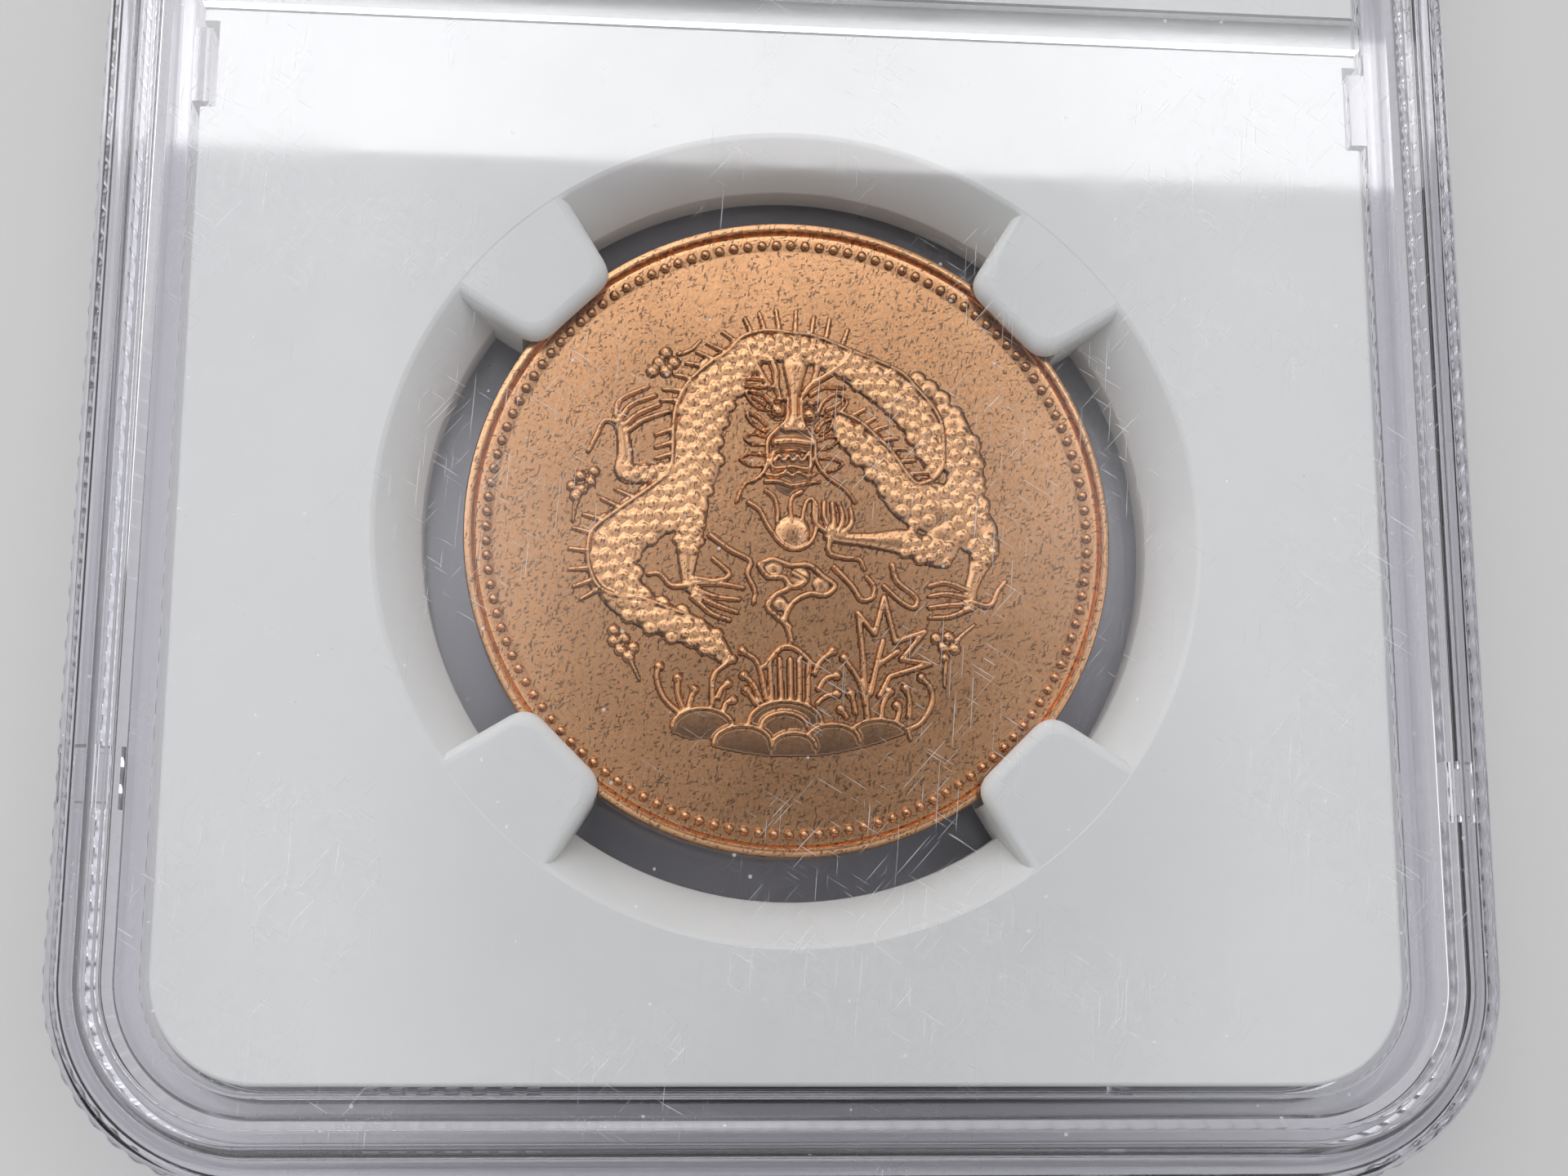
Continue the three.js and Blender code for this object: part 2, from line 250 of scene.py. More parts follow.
def block(name, low, high):
    """A box between two corners."""
    corners = ((low[0], low[1]), (high[0], low[1]), (high[0], high[1]), (low[0], high[1]))
    rings = [np.array([(x, y, z) for x, y in corners]) for z in (low[2], high[2])]
    return ring_solid(name, rings)


def bake(piece):
    """Applies the piece's modifiers to its mesh."""
    graph = bpy.context.evaluated_depsgraph_get()
    mesh = bpy.data.meshes.new_from_object(piece.evaluated_get(graph))
    old = piece.data
    piece.modifiers.clear()
    piece.data = mesh
    mesh.name = piece.name
    bpy.data.meshes.remove(old)
    return piece


def combine(piece, tool, operation):
    """Joins the tool to the piece, or cuts it away, and removes the tool."""
    modifier = piece.modifiers.new("combine", "BOOLEAN")
    modifier.operation = operation
    modifier.solver = "MANIFOLD"
    modifier.object = tool
    bake(piece)
    bpy.data.objects.remove(tool)
    if not piece.data.polygons:
        raise RuntimeError(f"{piece.name} is empty after {operation}")
    return piece


def shade(piece, material, angle=32.0):
    """Smooth shading between faces that meet gently, flat shading on level faces."""
    mesh = piece.data
    mesh.materials.clear()
    mesh.materials.append(material)
    mesh.shade_smooth()
    mesh.set_sharp_from_angle(angle=math.radians(angle))
    for face in mesh.polygons:
        face.material_index = 0
        if abs(face.normal.z) > 0.99999:
            face.use_smooth = False
    return piece


def place(piece, body, slot, *nodes):
    """Puts the piece on its body in place of these nodes of the frame. The slot is not used."""
    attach(piece, body)
    if nodes:
        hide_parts(*nodes)
    return piece


class Repeat:
    """A Geometry Nodes tree with named inputs that makes one finished piece."""

    def __init__(self, name, kinds):
        self.name = name
        self.group = bpy.data.node_groups.new(name, "GeometryNodeTree")
        face = self.group.interface
        self.sockets = {
            key: face.new_socket(key, in_out="INPUT", socket_type="NodeSocket" + kind).identifier
            for key, kind in {**kinds, "Material": "Material"}.items()}
        face.new_socket("Geometry", in_out="OUTPUT", socket_type="NodeSocketGeometry")
        self.given = self.group.nodes.new("NodeGroupInput").outputs

    def add(self, kind, inputs):
        """A node with its inputs set or linked, and its first output."""
        node = self.group.nodes.new(kind)
        for key, value in inputs.items():
            if isinstance(value, bpy.types.NodeSocket):
                self.group.links.new(value, node.inputs[key])
            else:
                node.inputs[key].default_value = value
        return node.outputs[0]

    def finish(self, geometry, values):
        """Ends the tree in real, smooth geometry with its material, and bakes it to a plain mesh."""
        real = self.add("GeometryNodeRealizeInstances", {"Geometry": geometry})
        smooth = self.add("GeometryNodeSetShadeSmooth", {"Geometry": real})
        paint = self.add("GeometryNodeSetMaterial", {
            "Geometry": smooth, "Material": self.given["Material"]})
        self.group.links.new(paint, self.group.nodes.new("NodeGroupOutput").inputs[0])
        piece = mesh_object(self.name, [(0, 0, 0)], [])
        modifier = piece.modifiers.new(self.name, "NODES")
        modifier.node_group = self.group
        for key, value in values.items():
            modifier[self.sockets[key]] = value
        return bake(piece)


def rounded(profile, steps=4):
    """The profile with its corners rounded: each point is [inset, z, rounding, reeded]."""
    points = []
    for i, (inset, z, rounding, reeded) in enumerate(profile):
        if rounding == 0:
            points.append((inset, z, reeded))
            continue
        here = Vector((inset, z))
        before = Vector(profile[i - 1][:2]) - here
        after = Vector(profile[i + 1][:2]) - here
        start = here + before.normalized() * min(rounding, before.length * 0.49)
        end = here + after.normalized() * min(rounding, after.length * 0.49)
        for step in range(steps + 1):
            t = step / steps
            point = start * (1 - t) ** 2 + here * 2 * t * (1 - t) + end * t * t
            points.append((point.x, point.y, reeded))
    return points


# ---- Outlines ----

def slab_edge(steps):
    """Corner centres and outward directions at equal steps round the slab's outer edge."""
    radius = bpy.context.scene.capsule.shell.corner_radius
    halves = (SLAB_HALF_Y - radius, SLAB_HALF_X - radius)
    quarter = radius * math.pi / 2
    total = 4 * (halves[0] + halves[1]) + 4 * quarter
    centres = []
    outward = []
    for i in range(steps):
        along = total * (i + 0.5) / steps
        side = 0
        while along >= 2 * halves[side % 2] + quarter:
            along -= 2 * halves[side % 2] + quarter
            side += 1
        straight = 2 * halves[side % 2]
        turn = max(along - straight, 0) / radius
        spin = side * math.pi / 2
        x, y = halves[(side + 1) % 2], min(along, straight) - straight / 2
        centres.append((x * math.cos(spin) - y * math.sin(spin), x * math.sin(spin) + y * math.cos(spin)))
        outward.append((math.cos(spin + turn), math.sin(spin + turn)))
    return np.array(centres), np.array(outward)


def reed_count():
    """How many reeds go round the slab."""
    shell = bpy.context.scene.capsule.shell
    straight = 4 * (SLAB_HALF_X + SLAB_HALF_Y - 2 * shell.corner_radius)
    return round((straight + 2 * math.pi * shell.corner_radius) / shell.reed_pitch)


def swept_shell(name, profile):
    """A shell swept round the slab's edge, with its reeded points waved in and out."""
    shell = bpy.context.scene.capsule.shell
    per_reed = 6
    steps = reed_count() * per_reed
    centres, outward = slab_edge(steps)
    phase = (np.arange(steps) + 0.5) * math.pi / per_reed
    wave = shell.reed_depth * (1 - np.abs(np.sin(phase)))
    rings = []
    for inset, z, reeded in rounded(profile):
        depth = inset + (wave if reeded else 0)
        flat = centres + outward * (shell.corner_radius - depth * np.ones(steps))[:, None]
        rings.append(np.column_stack([flat, np.full(steps, z)]))
    return ring_solid(name, rings)


def corner_ring(half_x, half_y, radius, z, centre=(0.0, 0.0), steps=14):
    """One ring of points round a rounded rectangle."""
    points = []
    for corner, (sx, sy) in enumerate(((1, 1), (-1, 1), (-1, -1), (1, -1))):
        for step in range(steps + 1):
            angle = (corner + step / steps) * math.pi / 2
            x = centre[0] + sx * (half_x - radius) + radius * math.cos(angle)
            y = centre[1] + sy * (half_y - radius) + radius * math.sin(angle)
            points.append((x, y, z))
    return np.array(points)


def soft_plate(name, half_x, half_y, radius, bottom, top, edge, centre=(0.0, 0.0), steps=14):
    """A flat plate whose upper and lower edges are rounded."""
    rings = []
    for level, side in ((bottom, 1), (top, -1)):
        turns = [k / 4 * math.pi / 2 for k in range(5)]
        for turn in turns if side == 1 else reversed(turns):
            inset = edge * (1 - math.sin(turn))
            z = level + side * edge * (1 - math.cos(turn))
            rings.append(corner_ring(half_x - inset, half_y - inset, radius - inset, z, centre, steps))
    return ring_solid(name, rings)


# ---- Materials ----

class Shader:
    """The nodes of one material, added and wired by name."""

    def __init__(self, name):
        self.material = bpy.data.materials.new(name)
        self.material.use_nodes = True
        self.tree = self.material.node_tree
        self.surface = self.tree.nodes["Principled BSDF"]
        self.output = self.tree.nodes["Material Output"]
        self.coordinates = self.add("ShaderNodeTexCoord").outputs["Object"]

    def add(self, kind, inputs=None, **settings):
        """A node with some of its settings and inputs given; a socket as a value is a link."""
        node = self.tree.nodes.new(kind)
        for key, value in settings.items():
            setattr(node, key, value)
        for key, value in (inputs or {}).items():
            self.put(node.inputs[key], value)
        return node

    def put(self, socket, value):
        """Sets one input, or links it."""
        if isinstance(value, bpy.types.NodeSocket):
            self.tree.links.new(value, socket)
        else:
            socket.default_value = value

    def stretched(self, length, width, turn=0.0):
        """The object's own coordinates, counted in marks of this length and width, turned about Z."""
        mapping = self.add("ShaderNodeMapping", {
            "Vector": self.coordinates, "Scale": (length, width, width), "Rotation": (0.0, 0.0, turn)},
            vector_type="TEXTURE")
        return mapping.outputs["Vector"]

    def noise(self, vector, scale, detail=3.0, roughness=0.55):
        """Noise between about 0.3 and 0.7."""
        node = self.add("ShaderNodeTexNoise", {
            "Vector": vector, "Scale": scale, "Detail": detail, "Roughness": roughness})
        return node.outputs["Fac"]

    def band(self, value, low, high, start=0.0, end=1.0):
        """A value spread from one range to another, and kept inside it."""
        node = self.add("ShaderNodeMapRange", {
            "Value": value, "From Min": low, "From Max": high, "To Min": start, "To Max": end})
        return node.outputs["Result"]

    def maths(self, operation, first, second=0.0):
        """One sum."""
        return self.add("ShaderNodeMath", {0: first, 1: second}, operation=operation).outputs[0]

    def blend(self, factor, first, second):
        """A colour between two."""
        node = self.add("ShaderNodeMix", data_type="RGBA")
        self.put(node.inputs["Factor"], factor)
        self.put(node.inputs[6], first if isinstance(first, bpy.types.NodeSocket) else (*first, 1.0))
        self.put(node.inputs[7], second if isinstance(second, bpy.types.NodeSocket) else (*second, 1.0))
        return node.outputs[2]

    def bump(self, height, distance, strength=1.0):
        """A normal from a height."""
        node = self.add("ShaderNodeBump", {
            "Height": height, "Distance": distance, "Strength": strength})
        return node.outputs["Normal"]

    def finish(self, **inputs):
        """Sets the Principled surface's inputs, with _ for each space in a name."""
        for key, value in inputs.items():
            self.put(self.surface.inputs[key.replace("_", " ")], value)
        return self.material


def hairlines(shader, turn, length, patches):
    """Fine straight scratches at one angle, as a mask that only shows in patches."""
    lines = shader.noise(shader.stretched(length, 0.07 * MM, turn), 1.0, 1.0)
    return shader.maths("MULTIPLY", shader.band(lines, 0.70, 0.74), patches)


def clear_plastic(name):
    """Clear polystyrene with hairlines, a few specks of dust and a faint moulded ripple."""
    shell = bpy.context.scene.capsule.shell
    shader = Shader(name)
    patches = shader.band(shader.noise(shader.coordinates, 110.0, 2.0), 0.50, 0.58)
    marks = hairlines(shader, 0.85, 3.2 * MM, patches)
    for turn, length in ((-0.55, 2.4 * MM), (1.5, 4.0 * MM)):
        marks = shader.maths("MAXIMUM", marks, hairlines(shader, turn, length, patches))
    dust = shader.add("ShaderNodeTexVoronoi", {"Vector": shader.coordinates, "Scale": 620.0})
    specks = shader.band(dust.outputs["Distance"], 0.06, 0.04)
    height = shader.add("ShaderNodeSeparateXYZ", {"Vector": shader.coordinates}).outputs["Z"]
    off_middle = shader.maths("ABSOLUTE", shader.maths("SUBTRACT", height, MID_Z))
    outside = shader.maths("GREATER_THAN", off_middle, SLAB_TOP / 2 - shell.shoulder_height - 0.2 * MM)
    amount = shader.maths("MULTIPLY", outside, 0.45)
    marked = shader.maths("MULTIPLY", shader.maths("MAXIMUM", marks, specks), amount)
    clear = shader.maths("SUBTRACT", 1.0, marked)
    ripple = shader.noise(shader.coordinates, 55.0, 1.0)
    shader.finish(
        Base_Color=shader.blend(marked, tuple(shell.tint), (0.9, 0.9, 0.9)),
        Roughness=shader.band(shader.noise(shader.coordinates, 240.0), 0.3, 0.7, 0.02, 0.05),
        IOR=1.5,
        Transmission_Weight=clear,
        Normal=shader.bump(ripple, 0.012 * MM, 0.4),
    )
    lit = shader.add("ShaderNodeBsdfTransparent", {"Color": (0.93, 0.93, 0.94, 1.0)})
    rays = shader.add("ShaderNodeLightPath")
    mix = shader.add("ShaderNodeMixShader")
    shader.put(mix.inputs[0], rays.outputs["Is Shadow Ray"])
    shader.put(mix.inputs[1], shader.surface.outputs[0])
    shader.put(mix.inputs[2], lit.outputs[0])
    shader.put(shader.output.inputs["Surface"], mix.outputs[0])
    return shader.material


def white_plastic(name):
    """Satin white plastic with a very fine grain and a faint cloudiness."""
    core = bpy.context.scene.capsule.core
    shader = Shader(name)
    colour = tuple(core.colour)
    deeper = tuple(c * 0.955 for c in colour)
    cloud = shader.band(shader.noise(shader.coordinates, 90.0, 4.0), 0.35, 0.65)
    grain = shader.noise(shader.coordinates, 9000.0, 2.0)
    return shader.finish(
        Base_Color=shader.blend(cloud, colour, deeper),
        Roughness=shader.band(cloud, 0.0, 1.0, 0.42, 0.52),
        Normal=shader.bump(grain, 0.004 * MM, 0.5),
    )


def copper(name, recess_tone_and_shade=0.0):
    """Satin struck copper: soft toning, short dark flecks, a struck grain and darker recesses, where
    toning and painted shade darken the low places.
    """
    coin = bpy.context.scene.capsule.coin
    shader = Shader(name)
    toning = shader.band(shader.noise(shader.coordinates, 130.0, 5.0, 0.6), 0.36, 0.68)
    base = shader.blend(toning, tuple(coin.colour), tuple(c * 0.8 for c in coin.colour))
    flecks = 0.0
    for turn, length in ((1.30, 0.30 * MM), (0.35, 0.22 * MM)):
        marks = shader.noise(shader.stretched(length, 0.10 * MM, turn), 1.0, 1.0)
        flecks = shader.maths("MAXIMUM", flecks, shader.band(marks, 0.615, 0.69))
    mottle = shader.band(shader.noise(shader.coordinates, 5200.0, 2.0), 0.52, 0.72)
    dark = shader.maths(
        "MAXIMUM", shader.maths("MULTIPLY", flecks, 0.74), shader.maths("MULTIPLY", mottle, 0.12))
    # Recess darkening: low places near the field go towards the tone colour, partly as toning and partly
    # as painted shade for the shadows round the relief's foot.
    if recess_tone_and_shade:
        height = shader.add("ShaderNodeSeparateXYZ", {"Vector": shader.coordinates}).outputs["Z"]
        off_middle = shader.maths("ABSOLUTE", shader.maths("SUBTRACT", height, MID_Z))
        foot = field_height() - MID_Z
        low = shader.band(off_middle, foot, foot + 0.12 * MM, recess_tone_and_shade, 0.0)
        dark = shader.maths("MAXIMUM", dark, low)
    # The flecks, the mottle and the painted recess shade all darken the base towards the tone colour.
    stained_and_shade_painted = shader.blend(dark, base, tuple(coin.tone))
    grain = shader.noise(shader.coordinates, 7000.0, 4.0, 0.7)
    rough = shader.band(grain, 0.3, 0.7, 0.20, 0.27)
    return shader.finish(
        Base_Color=stained_and_shade_painted,
        Metallic=1.0,
        Roughness=rough,
        Normal=shader.bump(grain, 0.004 * MM, 0.5),
    )


def copper_recess_tone_and_painted_shade(name):
    """Copper whose low places are darker: partly toning, partly painted shade round the relief's foot."""
    return copper(name, 1.0)


def card_print(name):
    """Matt card with a plain printed border and fine wavy ground lines; no lettering."""
    card = bpy.context.scene.capsule.card
    shader = Shader(name)
    centre = shader.add("ShaderNodeMapping", {
        "Vector": shader.coordinates, "Location": (-CARD_CENTRE.x, -CARD_CENTRE.y, 0.0)})
    parts = shader.add("ShaderNodeSeparateXYZ", {"Vector": centre.outputs["Vector"]})
    half_x = (FRONT_CARD_HIGH.x - FRONT_CARD_LOW.x) / 2
    half_y = (FRONT_CARD_HIGH.y - FRONT_CARD_LOW.y) / 2
    across = shader.maths("SUBTRACT", half_x, shader.maths("ABSOLUTE", parts.outputs["X"]))
    along = shader.maths("SUBTRACT", half_y, shader.maths("ABSOLUTE", parts.outputs["Y"]))
    edge = shader.maths("MINIMUM", across, along)
    border = shader.maths("COMPARE", edge, 1.5 * MM)
    border.node.inputs[2].default_value = 0.35 * MM
    inner = shader.maths("COMPARE", edge, 2.4 * MM)
    inner.node.inputs[2].default_value = 0.08 * MM
    wave = shader.add("ShaderNodeTexWave", {
        "Vector": centre.outputs["Vector"], "Scale": 320.0, "Distortion": 7.0, "Detail": 1.0,
        "Detail Scale": 0.25})
    rows = shader.maths("SINE", shader.maths("MULTIPLY", parts.outputs["Y"], 900.0))
    rules = shader.maths(
        "MULTIPLY", shader.band(shader.maths("ABSOLUTE", rows), 0.08, 0.04),
        shader.band(edge, 4.0 * MM, 4.05 * MM))
    ground = shader.maths("MULTIPLY", shader.band(wave.outputs["Fac"], 0.70, 0.9), 0.16)
    ground = shader.maths("MAXIMUM", ground, shader.maths("MULTIPLY", rules, 0.8))
    inked = shader.maths("MAXIMUM", shader.maths("MAXIMUM", border, inner), ground)
    fibre = shader.noise(shader.coordinates, 5000.0, 3.0)
    return shader.finish(
        Base_Color=shader.blend(inked, tuple(card.paper), tuple(card.ink)),
        Roughness=shader.band(fibre, 0.3, 0.7, 0.5, 0.7),
        Normal=shader.bump(fibre, 0.01 * MM, 0.4),
    )


def foil(name):
    """Brushed foil whose cells catch the light at slightly different angles."""
    shader = Shader(name)
    cells = shader.add("ShaderNodeTexVoronoi", {"Vector": shader.coordinates, "Scale": 420.0})
    tone = shader.noise(shader.coordinates, 160.0, 3.0)
    brushed = shader.noise(shader.stretched(2.5 * MM, 0.06 * MM), 1.0, 2.0)
    lift = shader.maths("ADD", shader.maths("MULTIPLY", cells.outputs["Distance"], 0.5), brushed)
    return shader.finish(
        Base_Color=shader.blend(tone, (0.72, 0.74, 0.76), (0.60, 0.66, 0.72)),
        Metallic=1.0,
        Roughness=shader.band(brushed, 0.3, 0.7, 0.22, 0.4),
        Normal=shader.bump(lift, 0.01 * MM, 0.5),
    )


def floor_paper(name):
    """Plain pale matt paper."""
    shader = Shader(name)
    colour = tuple(bpy.context.scene.capsule.stage.floor_colour)
    tone = shader.noise(shader.coordinates, 30.0, 4.0)
    return shader.finish(
        Base_Color=shader.blend(tone, colour, tuple(c * 0.96 for c in colour)),
        Roughness=0.85,
    )


def material(name, maker):
    """The named material, made once."""
    return bpy.data.materials.get(name) or maker(name)


# ---- Clear half shells ----

def window_levels():
    """Heights of the front window's faces and the rear window's faces."""
    shell = bpy.context.scene.capsule.shell
    front_top = SLAB_TOP - shell.shoulder_height
    return {
        "front_top": front_top,
        "front_under": front_top - shell.window_thickness,
        "rear_under": shell.shoulder_height,
        "rear_top": shell.shoulder_height + shell.window_thickness,
    }


def build_front_shell():
    """Window, stacking ridge, rounded shoulder and reeded skirt, with the divider rib."""
    shell = bpy.context.scene.capsule.shell
    level = window_levels()
    seam = MID_Z + shell.seam_gap / 2
    ledge = seam + shell.reed_height
    top = level["front_top"]
    profile = [
        (3.12 * MM, top, 0, False),
        (2.62 * MM, SLAB_TOP, 0.14 * MM, False),
        (1.90 * MM, SLAB_TOP, 0.14 * MM, False),
        (1.55 * MM, top + 0.25 * MM, 0.10 * MM, False),
        (1.00 * MM, top, 0.20 * MM, False),
        (0.30 * MM, top, shell.shoulder_rounding, False),
        (0.30 * MM, ledge, 0.05 * MM, False),
        (0.00 * MM, ledge, 0.12 * MM, True),
        (0.00 * MM, seam, 0.05 * MM, True),
        (1.70 * MM, seam, 0, False),
        (1.70 * MM, level["front_under"], 0.15 * MM, False),
        (2.20 * MM, level["front_under"], 0, False),
    ]
    piece = swept_shell("front_shell_moulding", profile)
    rib_half = SLAB_HALF_X - 4.15 * MM
    rib = block(
        "rib",
        (-rib_half, DIVIDER_Y - RIB_HALF, level["front_under"] - RIB_DEPTH),
        (rib_half, DIVIDER_Y + RIB_HALF, level["front_under"] + SINK),
    )
    combine(piece, rib, "UNION")
    for side in (-1, 1):
        outer = side * (SLAB_HALF_X - 0.85 * MM)
        inner = side * (SLAB_HALF_X - 2.2 * MM)
        keyway = block(
            "keyway",
            (min(outer, inner), KEY_Y - 1.3 * MM, seam - 0.5 * MM),
            (max(outer, inner), KEY_Y + 1.3 * MM, seam + 1.25 * MM),
        )
        combine(piece, keyway, "DIFFERENCE")
    shade(piece, material("clear_plastic", clear_plastic))
    return place(piece, "front_shell", "clear_shell", "front_shell")


def crush_pips():
    """A row of small blocks inside the tongue, at the coin end, and one on its own."""
    tree = Repeat("pips", {
        "Count": "Int", "Start": "Vector", "Step": "Vector", "Size": "Vector", "Lone": "Vector"})
    row = tree.add("GeometryNodeMeshLine", {
        "Count": tree.given["Count"], "Start Location": tree.given["Start"],
        "Offset": tree.given["Step"]})
    lone = tree.add("GeometryNodeMeshLine", {"Count": 1, "Start Location": tree.given["Lone"]})
    both = tree.group.nodes.new("GeometryNodeJoinGeometry")
    for line in (row, lone):
        tree.group.links.new(line, both.inputs[0])
    cube = tree.add("GeometryNodeMeshCube", {"Size": tree.given["Size"]})
    stand = tree.add("GeometryNodeInstanceOnPoints", {"Points": both.outputs[0], "Instance": cube})
    y, z = CORE_LOW.y - 0.28 * MM, MID_Z + 0.3 * MM
    return tree.finish(stand, {
        "Count": 7, "Start": (-17.0 * MM, y, z), "Step": (1.1 * MM, 0, 0),
        "Size": (0.5 * MM, 0.4 * MM, 2.4 * MM), "Lone": (13.9 * MM, y, z),
        "Material": material("clear_plastic", clear_plastic)})


def build_rear_shell():
    """Rear window, foot ridge, reeded skirt and the tongue inside the front skirt."""
    shell = bpy.context.scene.capsule.shell
    level = window_levels()
    seam = MID_Z - shell.seam_gap / 2
    ledge = seam - shell.reed_height
    under = level["rear_under"]
    tongue = level["front_under"] - 0.3 * MM
    profile = [
        (4.40 * MM, level["rear_top"], 0, False),
        (3.85 * MM, level["rear_top"], 0.15 * MM, False),
        (3.85 * MM, tongue, 0.10 * MM, False),
        (2.00 * MM, tongue, 0.12 * MM, False),
        (2.00 * MM, seam, 0.05 * MM, False),
        (0.00 * MM, seam, 0.05 * MM, True),
        (0.00 * MM, ledge, 0.12 * MM, True),
        (0.30 * MM, ledge, 0.05 * MM, False),
        (0.30 * MM, under, shell.shoulder_rounding, False),
        (3.42 * MM, under, 0.12 * MM, False),
        (3.62 * MM, 0.0, 0.12 * MM, False),
        (4.30 * MM, 0.0, 0.12 * MM, False),
        (4.50 * MM, under, 0, False),
    ]
    piece = swept_shell("rear_shell_moulding", profile)
    rib_half = SLAB_HALF_X - 3.5 * MM
    rib = block(
        "rib",
        (-rib_half, DIVIDER_Y - RIB_HALF, level["rear_top"] - SINK),
        (rib_half, DIVIDER_Y + RIB_HALF, level["rear_top"] + RIB_DEPTH),
    )
    combine(piece, rib, "UNION")
    for side in (-1, 1):
        for centre, half, outer, inner, bottom, high in (
            (LUG_Y, 1.7, 3.4, 4.6, level["rear_top"] - SINK, tongue - 0.1 * MM),
            (KEY_Y, 1.0, 1.15, 2.4, seam - SINK, seam + 1.1 * MM),
        ):
            ends = sorted((side * (SLAB_HALF_X - outer * MM), side * (SLAB_HALF_X - inner * MM)))
            lug = block(
                "lug",
                (ends[0], centre - half * MM, bottom),
                (ends[1], centre + half * MM, high),
            )
            combine(piece, lug, "UNION")
    combine(piece, crush_pips(), "UNION")
    shade(piece, material("clear_plastic", clear_plastic))
    return place(piece, "base", "clear_shell", "rear_shell")


# ---- White core ----

def prong_ring(quarter, inset, z):
    """One ring of a prong's outline, moved inwards, at one height."""
    core = bpy.context.scene.capsule.core
    slope = math.tan(math.radians(13.5))
    reach = core.prong_reach + inset
    half = core.prong_width / 2 - inset * 0.75
    corner = 0.9 * MM
    root = 20.0 * MM
    root_half = core.prong_width / 2 + (root - core.prong_reach) * slope - inset
    side = []
    for step in range(7):
        t = step / 6
        x = reach + corner * (1 - t) ** 2
        y = half * (1 - t * t) + (half - corner) * t * t + corner * slope * (1 - t) ** 2
        side.append((x, y))
    points = [(root, -root_half), (root, root_half), *side]
    points += [(x, -y) for x, y in reversed(side)]
    angle = (quarter + 0.5) * math.pi / 2
    c, s = math.cos(angle), math.sin(angle)
    return np.array([
        (COIN_CENTRE.x + x * c - y * s, COIN_CENTRE.y + x * s + y * c, z) for x, y in points])


def build_prong(quarter):
    """One prong, soft along its upper and lower edges."""
    rounding = bpy.context.scene.capsule.core.prong_rounding
    shallow = 0.02 * MM
    rings = []
    for level, side in ((CORE_LOW.z + shallow, 1), (CORE_HIGH.z - shallow, -1)):
        turns = [k / 5 * math.pi / 2 for k in range(6)]
        for turn in turns if side == 1 else reversed(turns):
            inset = rounding * (1 - math.sin(turn))
            z = level + side * rounding * (1 - math.cos(turn))
            rings.append(prong_ring(quarter, inset, z))
    return ring_solid("prong", rings)


def build_core():
    """Plate with funnelled coin hole, four grooved prongs, channels, notches and pockets."""
    core = bpy.context.scene.capsule.core
    bottom, top = CORE_LOW.z, CORE_HIGH.z
    piece = soft_plate(
        "white_core", CORE_HIGH.x, CORE_HIGH.y, core.corner_radius, bottom, top, 0.18 * MM, steps=24)
    hole, funnel = core.hole_radius, core.funnel_radius
    cutter = lathe_solid("hole", [
        (hole + 0.12 * MM, bottom - 0.4 * MM),
        (hole + 0.12 * MM, bottom),
        (hole, bottom + 0.12 * MM),
        (hole, 3.68 * MM),
        (hole + 0.05 * MM, 3.82 * MM),
        (funnel - 0.14 * MM, top - 0.13 * MM),
        (funnel - 0.05 * MM, top - 0.05 * MM),
        (funnel + 0.12 * MM, top),
        (funnel + 0.12 * MM, top + 0.4 * MM),
    ], 192, COIN_CENTRE)
    combine(piece, cutter, "DIFFERENCE")
    for quarter in range(4):
        combine(piece, build_prong(quarter), "UNION")
    groove_half = COIN_HIGH.z - MID_Z + 0.3 * MM
    groove_radius = COIN_RADIUS + 0.3 * MM
    groove = lathe_solid("groove", [
        (groove_radius - 0.1 * MM, MID_Z - groove_half),
        (groove_radius, MID_Z - groove_half + 0.1 * MM),
        (groove_radius, MID_Z + groove_half - 0.1 * MM),
        (groove_radius - 0.1 * MM, MID_Z + groove_half),
    ], 192, COIN_CENTRE)
    combine(piece, groove, "DIFFERENCE")
    wide = SLAB_HALF_X
    for low_z, high_z in ((top - RIB_DEPTH, top + SINK), (bottom - SINK, bottom + RIB_DEPTH)):
        channel = block(
            "channel", (-wide, DIVIDER_Y - 1.0 * MM, low_z), (wide, DIVIDER_Y + 1.0 * MM, high_z))
        combine(piece, channel, "DIFFERENCE")
    for side in (-1, 1):
        ends = sorted((side * (SLAB_HALF_X - 4.9 * MM), side * SLAB_HALF_X))
        notch = block(
            "notch",
            (ends[0], LUG_Y - 2.0 * MM, bottom - SINK),
            (ends[1], LUG_Y + 2.0 * MM, top + SINK),
        )
        combine(piece, notch, "DIFFERENCE")
    radius = bpy.context.scene.capsule.card.corner_radius + 0.3 * MM
    half_x = FRONT_CARD_HIGH.x + 0.3 * MM
    half_y = (FRONT_CARD_HIGH.y - FRONT_CARD_LOW.y) / 2 + 0.3 * MM
    for low_z, high_z in ((top - 0.7 * MM, top + SINK), (bottom - SINK, bottom + 0.7 * MM)):
        rings = [
            corner_ring(half_x, half_y, radius, z, (CARD_CENTRE.x, CARD_CENTRE.y))
            for z in (low_z, high_z)
        ]
        combine(piece, ring_solid("pocket", rings), "DIFFERENCE")
    shade(piece, material("white_plastic", white_plastic))
    return place(piece, "base", "white_core", "coin_insert")


# ---- Coin blank and beads ----

def field_height():
    """Height of the coin's front field."""
    return COIN_HIGH.z - bpy.context.scene.capsule.coin.rim_height


